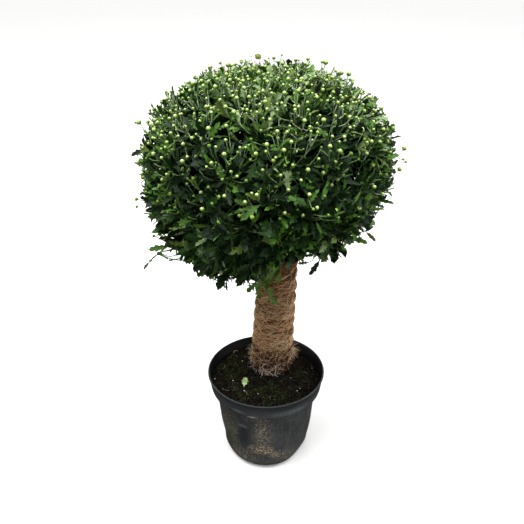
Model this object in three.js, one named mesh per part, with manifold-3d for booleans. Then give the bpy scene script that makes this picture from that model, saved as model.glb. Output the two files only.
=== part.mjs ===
// A standard chrysanthemum: one coir-wrapped stem out of a black nursery pot, carrying a broad,
// dense head of leafy shoots tipped with buds.
// Millimetres, +Z up. The origin is the centre of the pot's flat underside.

import * as THREE from "three";
import { mergeVertices } from "three/addons/utils/BufferGeometryUtils.js";
import Module from "manifold-3d";

// Driving dimensions.
const POT_HEIGHT = 210;
const RIM_RADIUS = 130;
const COLLAR_HEIGHT = 38;
const COLLAR_FOOT_RADIUS = 123.5;
const BODY_TOP_RADIUS = 112;
const BASE_RADIUS = 98;
const POT_WALL = 2;
const POT_FLOOR = 2.5;
const SOIL_LEVEL = 192;
const TRUNK_FOOT = new THREE.Vector3(12, 45, SOIL_LEVEL);
const TRUNK_TIP = new THREE.Vector3(27, 33, 505);
const TRUNK_FOOT_RADIUS = 44;
const TRUNK_TIP_RADIUS = 37;
const CROWN_CENTRE = new THREE.Vector3(0, 25, 668);
const CROWN_RADIUS = 253;
const CROWN_RISE = 210;
const CROWN_DROP = 170;
const SHOOTS = 96;
const SEED = 28;

// The gap that keeps neighbouring solids apart.
const GAP = 0.3;

// Edges shorter than this are closed up when solids are joined.
const SLIVER = 0.02;

// Pot details, which follow from the sizes above.
const BASE_ROUND = 20;
const RIM_ROUND = 1.2;
const LEDGE_DROP = 2;
const SOIL_SHOULDER = 14;
const SOIL_DIP = 3;
const DRAIN_HOLES = 6;
const DRAIN_RADIUS = 7;
const DRAIN_CIRCLE = 0.74 * BASE_RADIUS;
const POT_SIDES = 36;

// The coir wrap is pulled in by twine that climbs round it once in each WRAP_PITCH.
const WRAP_PITCH = 31;
const WRAP_BULGE = 1.8;
const TRUNK_SIDES = 12;
const TRUNK_RINGS = 24;
const ROOT_FLARE = 4;
const FLARE_HEIGHT = 26;

// Boughs leave the trunk's tip in a ring and end at the hub, the open space under the crown.
const HUB = new THREE.Vector3(20, 31, 590);
const HUB_RADIUS = 66;
const BOUGH_CIRCLE = 26;
const BOUGH_ROOT_RADIUS = 5.4;
const BOUGH_TIP_RADIUS = 4.2;
const BOUGH_STOP = 4;
const STEM_DEPTH = 50;
const TRUNK_CLEARANCE = 9;

// The crown: how square its shoulder and its underside are, its lower side, and the share of
// it that its rough cores fill.
const SHOULDER_POWER = 2.5;
const UNDERSIDE_POWER = 2.1;
const LOW_SIDE = THREE.MathUtils.degToRad(215);
const LOW_SIDE_DROP = 50;
const CORE_SHARE = 0.8;
const CORE_ROUGHNESS = 0.05;
const SEAM = 1;
const GOLDEN_ANGLE = Math.PI * (3 - Math.sqrt(5));

// Shoots, leaves and buds.
const SHOOT_START = 0.58;
const SHORTEST_REACH = 0.95;
const LONGEST_REACH = 1.03;
const LEAF_REACH = 1.05;
const BUD_LIFT = 0.5;
const LOW_DROOP = -0.15;
const SHOOT_ROOT_RADIUS = 3;
const SHOOT_TIP_RADIUS = 1.7;
const LEAF_LENGTH = 84;
const LEAF_WIDTH = 0.62;
const LEAF_WAIST = 0.44;
const LEAF_DROOP = 0.08;
const LEAF_THICKNESS = 0.05;
const LEAF_SPACING = 24;
const LEAF_SINK = 2;
const LEAF_SPREAD = 0.75;
const LEAF_MARGIN = 1;
const LEAF_PLACES = [0.52, 0.7, 0.87];
const LEAF_TRIES = 14;
const LEAF_TURN = 0.9;
const SMALL_LEAF = 0.62;
const BUD_RADIUS = 7;
const BUD_LINE = -0.42;
const TIP_MARGIN = 9;

const UP = new THREE.Vector3(0, 0, 1);
const wasm = await Module();
wasm.setup();

// Solids -----------------------------------------------------------------------------------

// A closed three.js geometry as a solid that can be joined and cut.
function solid(geometry) {
  const bare = geometry.index ? geometry.toNonIndexed() : geometry.clone();
  const points = new THREE.BufferGeometry();
  points.setAttribute("position", bare.getAttribute("position"));
  const merged = mergeVertices(points, 1e-3);
  return new wasm.Manifold(
    new wasm.Mesh({
      numProp: 3,
      vertProperties: new Float32Array(merged.attributes.position.array),
      triVerts: new Uint32Array(merged.index.array),
    }),
  );
}

// The largest body of a solid, with loose scraps and sealed hollows left out, as a geometry.
function geometryOf(made) {
  const bodies = made.setTolerance(SLIVER).decompose().sort((a, b) => b.volume() - a.volume());
  const mesh = bodies[0].getMesh();
  const position = new Float32Array(mesh.numVert * 3);
  for (let i = 0; i < mesh.numVert; i++) {
    position.set(mesh.vertProperties.subarray(i * mesh.numProp, i * mesh.numProp + 3), i * 3);
  }
  const geometry = new THREE.BufferGeometry();
  geometry.setAttribute("position", new THREE.BufferAttribute(position, 3));
  geometry.setIndex(new THREE.BufferAttribute(new Uint32Array(mesh.triVerts), 1));
  geometry.computeVertexNormals();
  return geometry;
}

// Moves every vertex of a geometry to where place(vertex) says.
function reshape(geometry, place) {
  const position = geometry.getAttribute("position");
  const vertex = new THREE.Vector3();
  for (let i = 0; i < position.count; i++) {
    const moved = place(vertex.fromBufferAttribute(position, i));
    position.setXYZ(i, moved.x, moved.y, moved.z);
  }
  return geometry;
}

// A lathe turned about +Z from a list of [radius, height] pairs that starts and ends on the axis.
function turned(profile, sides) {
  const points = profile.map(([radius, height]) => new THREE.Vector2(radius, height));
  return new THREE.LatheGeometry(points, sides).rotateX(Math.PI / 2);
}

// A round limb along a curve, tapering evenly from root to tip, with flat ends.
function limb(curve, rootRadius, tipRadius, sides, steps) {
  const frames = curve.computeFrenetFrames(steps, false);
  const straight = new THREE.CylinderGeometry(1, 1, 1, sides, steps);
  return reshape(straight, (vertex) => {
    const along = vertex.y + 0.5;
    const ring = Math.round(along * steps);
    const radius = THREE.MathUtils.lerp(rootRadius, tipRadius, along);
    return curve
      .getPointAt(along)
      .addScaledVector(frames.binormals[ring], vertex.x * radius)
      .addScaledVector(frames.normals[ring], vertex.z * radius);
  });
}

// Numbers from 0 to 1 that are the same on every run.
function seeded(seed) {
  let state = Math.imul(seed + 1, 2654435761);
  return () => {
    state ^= state << 13;
    state ^= state >>> 17;
    state ^= state << 5;
    return (state >>> 0) / 2 ** 32;
  };
}

// Pot and soil -----------------------------------------------------------------------------

// Quarter circle of profile points round (radius, height), from one angle to another in degrees.
function corner(radius, height, round, from, to, steps) {
  return Array.from({ length: steps + 1 }, (_, i) => {
    const angle = THREE.MathUtils.degToRad(from + ((to - from) * i) / steps);
    return [radius + round * Math.cos(angle), height + round * Math.sin(angle)];
  });
}

function pot() {
  const collarFoot = POT_HEIGHT - COLLAR_HEIGHT;
  const outside = [
    [0, 0],
    ...corner(BASE_RADIUS - BASE_ROUND, BASE_ROUND, BASE_ROUND, -90, -10, 3),
    [BODY_TOP_RADIUS, collarFoot - LEDGE_DROP],
    [COLLAR_FOOT_RADIUS, collarFoot],
    ...corner(RIM_RADIUS - RIM_ROUND, POT_HEIGHT - RIM_ROUND, RIM_ROUND, 0, 180, 4),
  ];
  const inside = [
    [COLLAR_FOOT_RADIUS - POT_WALL, collarFoot + POT_WALL],
    [BODY_TOP_RADIUS - POT_WALL, collarFoot + POT_WALL - LEDGE_DROP],
    ...corner(BASE_RADIUS - BASE_ROUND, POT_FLOOR + BASE_ROUND - POT_WALL, BASE_ROUND - POT_WALL, -10, -90, 2),
    [0, POT_FLOOR],
  ];
  let shell = solid(turned([...outside, ...inside], POT_SIDES));
  for (let i = 0; i < DRAIN_HOLES; i++) {
    const angle = ((i + 0.5) * 2 * Math.PI) / DRAIN_HOLES;
    const hole = new THREE.CylinderGeometry(DRAIN_RADIUS, DRAIN_RADIUS, 4 * POT_WALL, 10).rotateX(Math.PI / 2);
    hole.translate(DRAIN_CIRCLE * Math.cos(angle), DRAIN_CIRCLE * Math.sin(angle), 0);
    shell = shell.subtract(solid(hole));
  }
  return geometryOf(shell);
}

// The soil fills the pot up to just off its wall, and its level top dips towards the wall.
function soil() {
  const collarFoot = POT_HEIGHT - COLLAR_HEIGHT;
  const off = POT_WALL + 3 * GAP;
  const edge = THREE.MathUtils.lerp(COLLAR_FOOT_RADIUS, RIM_RADIUS, (SOIL_LEVEL - collarFoot) / COLLAR_HEIGHT);
  const floor = POT_FLOOR + GAP;
  const profile = [
    [0, floor],
    [BASE_RADIUS - BASE_ROUND - off, floor],
    [BASE_RADIUS - 1.3 * off, BASE_ROUND + floor],
    [BODY_TOP_RADIUS - off, collarFoot],
    [COLLAR_FOOT_RADIUS - 1.3 * off, collarFoot + 1.5 * POT_WALL],
    [edge - off, SOIL_LEVEL - SOIL_DIP],
    [edge - SOIL_SHOULDER, SOIL_LEVEL],
    [0, SOIL_LEVEL],
  ];
  return geometryOf(solid(turned(profile, POT_SIDES)));
}

// Trunk and boughs -------------------------------------------------------------------------

function trunkAxis(height) {
  const along = (height - TRUNK_FOOT.z) / (TRUNK_TIP.z - TRUNK_FOOT.z);
  return new THREE.Vector3().lerpVectors(TRUNK_FOOT, TRUNK_TIP, along);
}

function trunkRadius(height) {
  const along = (height - TRUNK_FOOT.z) / (TRUNK_TIP.z - TRUNK_FOOT.z);
  const flare = ROOT_FLARE * Math.exp(-(height - TRUNK_FOOT.z) / FLARE_HEIGHT);
  return THREE.MathUtils.lerp(TRUNK_FOOT_RADIUS, TRUNK_TIP_RADIUS, along) + flare;
}

// The stem bundle inside its coir wrap: leaning, tapering, flared at the foot, and pinched by
// the twine that winds up it.
function trunk() {
  const foot = TRUNK_FOOT.z + GAP;
  const height = TRUNK_TIP.z - foot;
  const column = new THREE.CylinderGeometry(1, 1, 1, TRUNK_SIDES, TRUNK_RINGS);
  return reshape(column, (vertex) => {
    const level = foot + height * (vertex.y + 0.5);
    const turn = Math.atan2(vertex.z, vertex.x);
    const wrap = WRAP_BULGE * Math.sin((level / WRAP_PITCH) * 2 * Math.PI + turn);
    const radius = trunkRadius(level) + wrap;
    const axis = trunkAxis(level);
    return new THREE.Vector3(axis.x + vertex.x * radius, axis.y - vertex.z * radius, level);
  });
}

// A bough rises from its place on the trunk's tip and bends out to the edge of the hub.
function boughCurve(mass) {
  const start = TRUNK_TIP.clone().add(mass.footing).addScaledVector(UP, GAP);
  const end = HUB.clone().addScaledVector(mass.outward, HUB_RADIUS - BOUGH_STOP);
  const lift = start.clone().addScaledVector(UP, 0.35 * start.distanceTo(end));
  const lead = end.clone().addScaledVector(mass.outward, -0.4 * start.distanceTo(end));
  return new THREE.CubicBezierCurve3(start, lift, lead, end);
}

// The crown --------------------------------------------------------------------------------

// How far the crown reaches from its centre in a direction.
function reach(direction) {
  const azimuth = Math.atan2(direction.y, direction.x);
  const level = Math.hypot(direction.x, direction.y);
  const drop = CROWN_DROP + LOW_SIDE_DROP * Math.cos(azimuth - LOW_SIDE);
  const rise = direction.z > 0 ? CROWN_RISE : drop;
  const power = direction.z > 0 ? SHOULDER_POWER : UNDERSIDE_POWER;
  const across = Math.pow(level / CROWN_RADIUS, power);
  const upward = Math.pow(Math.abs(direction.z) / rise, power);
  const lumps = 0.014 * Math.sin(3 * azimuth + 4 * direction.z) + 0.012 * Math.cos(5 * azimuth - 3 * direction.z);
  return Math.pow(across + upward, -1 / power) * (1 + lumps * level);
}

// Where a point lies on the way from the crown's centre, 0, to its outline, 1.
function crownShare(point) {
  const offset = point.clone().sub(CROWN_CENTRE);
  const distance = offset.length();
  return distance / reach(offset.divideScalar(distance));
}

// The masses of foliage: one on top, a ring round the shoulder and a ring round the waist.
function massesOfFoliage() {
  const rings = [
    { name: "top", count: 1, elevation: 90 },
    { name: "upper", count: 5, elevation: 40 },
    { name: "lower", count: 6, elevation: -12 },
  ];
  const masses = [];
  for (const { name, count, elevation } of rings) {
    const rise = THREE.MathUtils.degToRad(elevation);
    for (let i = 0; i < count; i++) {
      const angle = ((i + 0.25 * count) * 2 * Math.PI) / count;
      const level = Math.cos(rise);
      const outward = new THREE.Vector3(level * Math.cos(angle), level * Math.sin(angle), Math.sin(rise));
      masses.push({ name: count > 1 ? `${name}_${i + 1}` : name, outward });
    }
  }
  const turn = (mass) => Math.atan2(mass.outward.y, mass.outward.x);
  const around = masses.slice(1).sort((a, b) => turn(a) - turn(b));
  around.forEach((mass, i) => {
    const angle = (i / around.length) * 2 * Math.PI + turn(around[0]);
    mass.footing = new THREE.Vector3(BOUGH_CIRCLE * Math.cos(angle), BOUGH_CIRCLE * Math.sin(angle), 0);
  });
  masses[0].footing = new THREE.Vector3();
  return masses;
}

// The flat sides of a mass's own space, a cone from the hub: half way round to each neighbour.
function wallsOf(mass, masses) {
  return masses
    .filter((other) => other !== mass)
    .map((other) => {
      const normal = other.outward.clone().sub(mass.outward).normalize();
      return new THREE.Plane(normal, -normal.dot(HUB));
    });
}

// Whether points stay inside a mass's space, off the hub and off the trunk.
function clear(points, mass, margin) {
  return points.every((point) => {
    if (mass.walls.some((wall) => wall.distanceToPoint(point) > -margin)) return false;
    if (point.distanceTo(HUB) < HUB_RADIUS + margin) return false;
    const axis = trunkAxis(Math.min(point.z, TRUNK_TIP.z));
    return point.distanceTo(axis) > trunkRadius(axis.z) + TRUNK_CLEARANCE + margin;
  });
}

// A mass's core: its share of a smaller crown, cut clear of its neighbours, hub and trunk.
function core(mass) {
  const ball = reshape(new THREE.SphereGeometry(1, 22, 13).rotateX(Math.PI / 2), (vertex) => {
    const direction = vertex.clone().normalize();
    const rough = Math.sin(13 * direction.x + 9 * direction.z) * Math.sin(15 * direction.y - 11 * direction.z);
    const share = CORE_SHARE * (1 + CORE_ROUGHNESS * rough);
    return CROWN_CENTRE.clone().addScaledVector(direction, share * reach(direction));
  });
  let made = solid(ball);
  for (const wall of mass.walls) {
    const inward = wall.normal.clone().negate();
    made = made.trimByPlane(inward.toArray(), wall.constant + SEAM);
  }
  const hub = new THREE.SphereGeometry(HUB_RADIUS + 2 * SEAM, 12, 8).translate(HUB.x, HUB.y, HUB.z);
  const shaft = new THREE.CylinderGeometry(1, 1, 1, 10, 1);
  reshape(shaft, (vertex) => {
    const level = THREE.MathUtils.lerp(SOIL_LEVEL, HUB.z, vertex.y + 0.5);
    const radius = TRUNK_FOOT_RADIUS + TRUNK_CLEARANCE;
    const axis = trunkAxis(level);
    return new THREE.Vector3(axis.x + vertex.x * radius, axis.y - vertex.z * radius, level);
  });
  return made.subtract(solid(hub)).subtract(solid(shaft));
}

// A mass's stem carries on from its bough's tip into the core.
function stem(mass) {
  const start = boughCurve(mass).getPointAt(1).addScaledVector(mass.outward, GAP);
  const end = start.clone().addScaledVector(mass.outward, STEM_DEPTH);
  return limb(new THREE.LineCurve3(start, end), BOUGH_TIP_RADIUS, SHOOT_ROOT_RADIUS, 6, 1);
}

// One shoot for each of SHOOTS even directions. It ends at the crown's outline, just inside the
// space of the mass that it points along.
function shootTip(index, masses) {
  const random = seeded(SEED + index);
  const height = 1 - (2 * (index + 0.5)) / SHOOTS;
  const azimuth = index * GOLDEN_ANGLE;
  const level = Math.sqrt(1 - height * height);
  const direction = new THREE.Vector3(level * Math.cos(azimuth), level * Math.sin(azimuth), height);
  const share = THREE.MathUtils.lerp(SHORTEST_REACH, LONGEST_REACH, random());
  const tip = CROWN_CENTRE.clone().addScaledVector(direction, share * reach(direction));
  const pull = (mass) => tip.clone().sub(HUB).dot(mass.outward);
  const mass = masses.reduce((best, other) => (pull(other) > pull(best) ? other : best));
  for (const wall of mass.walls) {
    const past = wall.distanceToPoint(tip) + TIP_MARGIN;
    if (past > 0) tip.addScaledVector(wall.normal, -past);
  }
  return { index, direction, tip, mass, random };
}

// A shoot's way to its tip: it bends up as far as its mass's space allows.
function shootCurve({ direction, tip, mass }) {
  const root = HUB.clone().lerp(tip, SHOOT_START);
  const heading = direction.clone().addScaledVector(UP, direction.z > BUD_LINE ? BUD_LIFT : LOW_DROOP).normalize();
  const middle = root.clone().lerp(tip, 0.5);
  const raised = tip.clone().addScaledVector(heading, -0.5 * tip.distanceTo(root));
  for (const bend of [1, 0.5, 0]) {
    const curve = new THREE.QuadraticBezierCurve3(root, middle.clone().lerp(raised, bend), tip);
    if (clear(curve.getPoints(5), mass, SHOOT_ROOT_RADIUS + 1)) return { heading, curve };
  }
  return null;
}

// A leaf blade: a thin diamond with a keel under its midrib, from its stalk to its drooping tip.
function leaf(root, along, face, length) {
  const side = new THREE.Vector3().crossVectors(face, along);
  const place = (forward, across, out) =>
    root.clone().addScaledVector(along, forward).addScaledVector(side, across).addScaledVector(face, out);
  const foot = place(-LEAF_SINK, 0, 0);
  const tip = place(length, 0, -LEAF_DROOP * length);
  const edges = [1, -1].map((hand) => place(LEAF_WAIST * length, (hand * LEAF_WIDTH * length) / 2, 0));
  const keel = place(LEAF_WAIST * length, 0, -LEAF_THICKNESS * length);
  const blade = reshape(new THREE.SphereGeometry(1, 3, 2), (vertex) => {
    if (Math.abs(vertex.y) > 0.5) return vertex.y > 0 ? tip : foot;
    if (vertex.x < -0.9) return keel;
    return vertex.z > 0 ? edges[0] : edges[1];
  });
  const shoulders = edges.map((edge) => edge.clone().lerp(tip, 0.5));
  return { blade, middle: foot.clone().lerp(tip, 0.55), points: [...edges, ...shoulders, tip, keel] };
}

// A bud: a round head on its short green cup.
function bud(centre, heading, radius) {
  const ball = new THREE.SphereGeometry(radius, 6, 2).rotateX(Math.PI / 2).scale(1, 1, 0.82);
  const turn = new THREE.Quaternion().setFromUnitVectors(UP, heading);
  return ball.applyQuaternion(turn).translate(centre.x, centre.y, centre.z);
}

// Leaves set round a shoot by the golden angle. One that would leave the mass's space is
// turned on to the next free place, then made smaller, or left out.
function leavesOf(shoot, middles) {
  const { mass, random } = shoot;
  const blades = [];
  const start = random() * 2 * Math.PI;
  LEAF_PLACES.forEach((along, i) => {
    const root = shoot.curve.getPointAt(along);
    const tangent = shoot.curve.getTangentAt(along);
    const across = new THREE.Vector3().crossVectors(tangent, shoot.direction.z > 0.9 ? new THREE.Vector3(1, 0, 0) : UP);
    across.normalize();
    const full = LEAF_LENGTH * (1 - 0.12 * i) * (0.88 + 0.24 * random());
    for (let attempt = 0; attempt < LEAF_TRIES; attempt++) {
      const length = attempt < LEAF_TRIES / 2 ? full : SMALL_LEAF * full;
      const around = start + i * GOLDEN_ANGLE + attempt * LEAF_TURN;
      const outward = across.clone().applyAxisAngle(tangent, around);
      const heading = outward.clone().addScaledVector(tangent, LEAF_SPREAD).normalize();
      const face = tangent.clone().addScaledVector(outward, -LEAF_SPREAD).normalize();
      const { blade, middle, points } = leaf(root, heading, face, length);
      if (!clear(points, mass, LEAF_MARGIN)) continue;
      if (points.some((point) => crownShare(point) > LEAF_REACH)) continue;
      if (middles.some((other) => other.distanceTo(middle) < LEAF_SPACING)) continue;
      middles.push(middle);
      blades.push(blade);
      return;
    }
  });
  return blades;
}

// Everything that grows on one mass, fused to its core.
function foliage(mass, tips) {
  let made = core(mass).add(solid(stem(mass)));
  const middles = [];
  for (const tip of tips) {
    const way = shootCurve(tip);
    if (!way) continue;
    const shoot = { ...tip, ...way };
    made = made.add(solid(limb(shoot.curve, SHOOT_ROOT_RADIUS, SHOOT_TIP_RADIUS, 3, 2)));
    for (const blade of leavesOf(shoot, middles)) made = made.add(solid(blade));
    if (shoot.direction.z > BUD_LINE) {
      made = made.add(solid(bud(shoot.tip, shoot.heading, BUD_RADIUS * (0.85 + 0.25 * shoot.random()))));
    }
  }
  return geometryOf(made);
}

// Assembly ---------------------------------------------------------------------------------

const plastic = new THREE.MeshStandardMaterial({ color: 0x2b2d2f, roughness: 0.55, metalness: 0 });
const peat = new THREE.MeshStandardMaterial({ color: 0x1d1a13, roughness: 0.95, metalness: 0 });
const coir = new THREE.MeshStandardMaterial({ color: 0x8f6b47, roughness: 0.9, metalness: 0 });
const bark = new THREE.MeshStandardMaterial({ color: 0x6f7a4e, roughness: 0.8, metalness: 0 });
const leafGreen = new THREE.MeshStandardMaterial({ color: 0x2f5a22, roughness: 0.6, metalness: 0 });

const plant = new THREE.Group();

function place(name, geometry, material) {
  const mesh = new THREE.Mesh(geometry, material);
  mesh.name = name;
  plant.add(mesh);
}

place("pot", pot(), plastic);
place("soil", soil(), peat);
place("trunk", trunk(), coir);

const masses = massesOfFoliage();
for (const mass of masses) {
  mass.walls = wallsOf(mass, masses);
  place(`bough_${mass.name}`, limb(boughCurve(mass), BOUGH_ROOT_RADIUS, BOUGH_TIP_RADIUS, 6, 4), bark);
}
const tips = Array.from({ length: SHOOTS }, (_, index) => shootTip(index, masses));
for (const mass of masses) {
  const own = tips.filter((tip) => tip.mass === mass);
  place(`foliage_${mass.name}`, foliage(mass, own), leafGreen);
}

export default plant;
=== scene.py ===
"""The looks of a potted standard chrysanthemum: its pot, compost, coir-wrapped stem and head."""

import math

import bmesh
import bpy
import numpy as np
from mathutils import Matrix, Vector


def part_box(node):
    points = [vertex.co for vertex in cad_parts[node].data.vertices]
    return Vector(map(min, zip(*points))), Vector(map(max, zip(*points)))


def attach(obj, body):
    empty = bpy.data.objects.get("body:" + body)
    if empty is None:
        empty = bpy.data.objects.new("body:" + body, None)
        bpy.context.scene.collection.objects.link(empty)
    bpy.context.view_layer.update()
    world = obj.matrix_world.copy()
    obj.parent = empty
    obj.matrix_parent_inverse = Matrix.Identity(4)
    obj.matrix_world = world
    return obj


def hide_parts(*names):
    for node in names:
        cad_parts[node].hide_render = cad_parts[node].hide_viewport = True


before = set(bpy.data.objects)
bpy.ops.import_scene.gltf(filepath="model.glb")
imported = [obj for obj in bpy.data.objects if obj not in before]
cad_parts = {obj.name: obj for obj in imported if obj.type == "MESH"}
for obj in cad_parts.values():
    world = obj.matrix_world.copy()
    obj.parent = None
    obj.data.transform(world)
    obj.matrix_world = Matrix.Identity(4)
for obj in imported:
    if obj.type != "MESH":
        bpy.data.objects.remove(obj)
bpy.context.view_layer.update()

MM = 0.001
UP = Vector((0, 0, 1))
GOLDEN_ANGLE = math.pi * (3 - math.sqrt(5))
FULL_TURN = 2 * math.pi
FINE_SEED = 5

# Driving dimensions, in metres, as the frame has them.
POT_LOW, POT_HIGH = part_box("pot")
TRUNK_LOW, TRUNK_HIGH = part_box("trunk")
POT_HEIGHT = POT_HIGH.z
RIM_RADIUS = (POT_HIGH.x - POT_LOW.x) / 2
COLLAR_HEIGHT = 38 * MM
COLLAR_FOOT_RADIUS = 123.5 * MM
BODY_TOP_RADIUS = 112 * MM
BASE_RADIUS = 98 * MM
BASE_ROUND = 20 * MM
POT_WALL = 2 * MM
SOIL_LEVEL = 192 * MM
TRUNK_FOOT = Vector((12, 45, 192)) * MM
TRUNK_TIP = Vector((27, 33, 505)) * MM
TRUNK_FOOT_RADIUS = 44 * MM
TRUNK_TIP_RADIUS = 37 * MM
ROOT_FLARE = 4 * MM
FLARE_HEIGHT = 26 * MM
WRAP_PITCH = 31 * MM
WRAP_BULGE = 1.8 * MM
CROWN_CENTRE = Vector((0, 25, 668)) * MM
CROWN_RADIUS = 253 * MM
CROWN_RISE = 210 * MM
CROWN_DROP = 170 * MM
SHOULDER_POWER = 2.5
UNDERSIDE_POWER = 2.1
LOW_SIDE = math.radians(215)
LOW_SIDE_DROP = 50 * MM
HUB = Vector((20, 31, 590)) * MM
HUB_RADIUS = 66 * MM
BOUGH_CIRCLE = 26 * MM
BOUGH_STOP = 4 * MM
BOUGH_ROOT_RADIUS = 5.4 * MM
BOUGH_TIP_RADIUS = 4.2 * MM
STEM_DEPTH = 50 * MM
TRUNK_CLEARANCE = 9 * MM
SHOOTS = 96
SEED = 28
SHOOT_START = 0.58
SHOOT_ROOT_RADIUS = 3 * MM
SHORTEST_REACH = 0.95
LONGEST_REACH = 1.03
TIP_MARGIN = 9 * MM
BUD_LINE = -0.42
BUD_LIFT = 0.5
LOW_DROOP = -0.15

# The pot, the compost and the coir in more detail than the solids have.
POT_SEGMENTS = 144
DRAIN_HOLES = 6
DRAIN_RADIUS = 7 * MM
DRAIN_CIRCLE = 0.74 * BASE_RADIUS
DENT_REACH = 34 * MM
SOIL_GRID = 110
CRUMBS = 2600
DRY_CRUMBS = 1100
MOSS_LUMPS = 6400
MOSS_FROM = 0.35
LITTER_CIRCLE = 116 * MM
WRAP_SIDES = 150
WRAP_RINGS = 190
LOOSE_HAIRS = 70
EDGE_FIBRES = 420
ROOT_ENDS = 64
TWINE_RADIUS = 0.8 * MM
STRING_LOW = 432 * MM
STRING_HIGH = 470 * MM

# The fine shoots, their leaves and their buds. Heights run from -1 to 1 in the crown, and
# depths and reaches are shares of the crown's own reach.
FINE_SHOOTS = 1180
FINE_REACH = 0.94
FURTHEST = 1.02
INNER_REACH = 0.84
LOWER_REACH = 0.9
HOLLOW = -0.45
RAGGED_DEPTH = 0.05
HOLLOW_DEPTH = 0.05
BARE_ABOVE = -0.1
PALE_ABOVE = 0.52
FORK_RADIUS = 2.6 * MM
TWIG_RADIUS = 1.2 * MM
LEAF_STALK_RADIUS = 1.6 * MM
LEAF_STALK_LENGTH = 85 * MM
BUD_STALK_RADIUS = 0.8 * MM
STRAY_BUD_RADIUS = 4.7 * MM
LOW_BUD_RADIUS = 3.3 * MM
SIDE_BUD_ODDS = (0.85, 0.6, 0.4, 0.22)
PETALS = 15
DISC_RADIUS = 6 * MM
LEAF_GLOSS = 0.22
SHADE_GLOSS = 0.0


# Meshes -----------------------------------------------------------------------------------


def in_scene(name, data):
    """An object in the scene that shows a mesh, a lamp or a camera."""
    made = bpy.data.objects.new(name, data)
    bpy.context.scene.collection.objects.link(made)
    return made


def mesh_of(bm, name):
    mesh = bpy.data.meshes.new(name)
    bm.to_mesh(mesh)
    bm.free()
    return mesh


def dress(mesh, name, material):
    """A finished piece out of a mesh, riding on the plant."""
    piece = in_scene(name, mesh)
    mesh.materials.append(material)
    mesh.polygons.foreach_set("use_smooth", [True] * len(mesh.polygons))
    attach(piece, "root")
    return piece


def arrays_of(bm):
    """A template's points, and its faces grouped by how many corners they have."""
    bm.verts.index_update()
    points = np.array([v.co[:] for v in bm.verts])
    faces = {}
    for face in bm.faces:
        faces.setdefault(len(face.verts), []).append([v.index for v in face.verts])
    bm.free()
    return points, {corners: np.array(group) for corners, group in faces.items()}


def joined(name, batches, material):
    """One piece from batches of (points, faces), where faces are grouped by corner count."""
    points, faces, count = [], [], 0
    for batch_points, batch_faces in batches:
        points.append(batch_points)
        for group in batch_faces.values():
            faces += (group + count).tolist()
        count += len(batch_points)
    mesh = bpy.data.meshes.new(name)
    mesh.from_pydata(np.concatenate(points).tolist(), [], faces)
    mesh.validate()
    return dress(mesh, name, material)


def tube_piece(name, paths, radii, taper, sides, material):
    """One piece of round limbs along paths, each thinner towards its tip by a taper."""
    return joined(name, [tubes(paths, radii, taper * radii, sides)], material)


def strewn(template, origins, sides, alongs, outs, bends=None):
    """Copies of a template: its x, y and z follow each place's side, along and out vectors.
    A bend curls the copy out of its plane with the square of y."""
    points, faces = template
    x, y, z = (points[:, i][None, :, None] for i in range(3))
    if bends is not None:
        z = z + bends[:, None, None] * y * y
    placed = origins[:, None] + x * sides[:, None] + y * alongs[:, None] + z * outs[:, None]
    offsets = np.arange(len(origins)) * len(points)
    tiled = {
        corners: (group[None] + offsets[:, None, None]).reshape(-1, corners)
        for corners, group in faces.items()
    }
    return placed.reshape(-1, 3), tiled


def unit(vectors):
    return vectors / np.maximum(np.linalg.norm(vectors, axis=-1, keepdims=True), 1e-9)


def square_to(along, ways):
    """Ways turned until they stand square to others."""
    return unit(ways - along * np.sum(ways * along, axis=-1, keepdims=True))


def tubes(paths, root_radii, tip_radii, sides):
    """Tapering round limbs along paths, an array of (limb, step, xyz), closed at both ends."""
    count, steps, _ = paths.shape
    tangents = unit(np.gradient(paths, axis=1))
    middle = tangents.mean(axis=1)
    spare = np.where(np.abs(middle[:, 2:3]) > 0.8, [[1.0, 0.0, 0.0]], [[0.0, 0.0, 1.0]])
    across = unit(np.cross(tangents, spare[:, None]))
    upward = np.cross(across, tangents)
    share = np.linspace(0, 1, steps)[None, :, None]
    radii = root_radii[:, None, None] * (1 - share) + tip_radii[:, None, None] * share
    turn = np.arange(sides) * FULL_TURN / sides
    ring = np.cos(turn)[None, None, :, None] * across[:, :, None]
    ring = ring + np.sin(turn)[None, None, :, None] * upward[:, :, None]
    points = paths[:, :, None] + radii[..., None] * ring
    index = np.arange(count * steps * sides).reshape(count, steps, sides)
    here, there = index[:, :-1], index[:, 1:]
    quads = np.stack([here, np.roll(here, -1, 2), np.roll(there, -1, 2), there], axis=-1)
    faces = {4: quads.reshape(-1, 4)}
    ends = np.concatenate([index[:, 0, ::-1], index[:, -1]])
    faces[sides] = np.concatenate([faces[4], ends]) if sides == 4 else ends
    return points.reshape(-1, 3), faces


def curve_point(a, b, c, d, t):
    """The point of a cubic curve at a share t of it."""
    return a * (1 - t) ** 3 + 3 * b * t * (1 - t) ** 2 + 3 * c * t * t * (1 - t) + d * t**3


def curve_lean(a, b, c, d, t):
    """The direction of a cubic curve at a share t of it."""
    return unit((b - a) * (1 - t) ** 2 + 2 * (c - b) * t * (1 - t) + (d - c) * t * t)


def bezier(a, b, c, d, steps):
    """Points at even shares of cubic curves, for arrays of their four control points."""
    t = np.linspace(0, 1, steps)[None, :, None]
    return curve_point(*(p[:, None] for p in (a, b, c, d)), t)


# Materials --------------------------------------------------------------------------------


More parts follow.
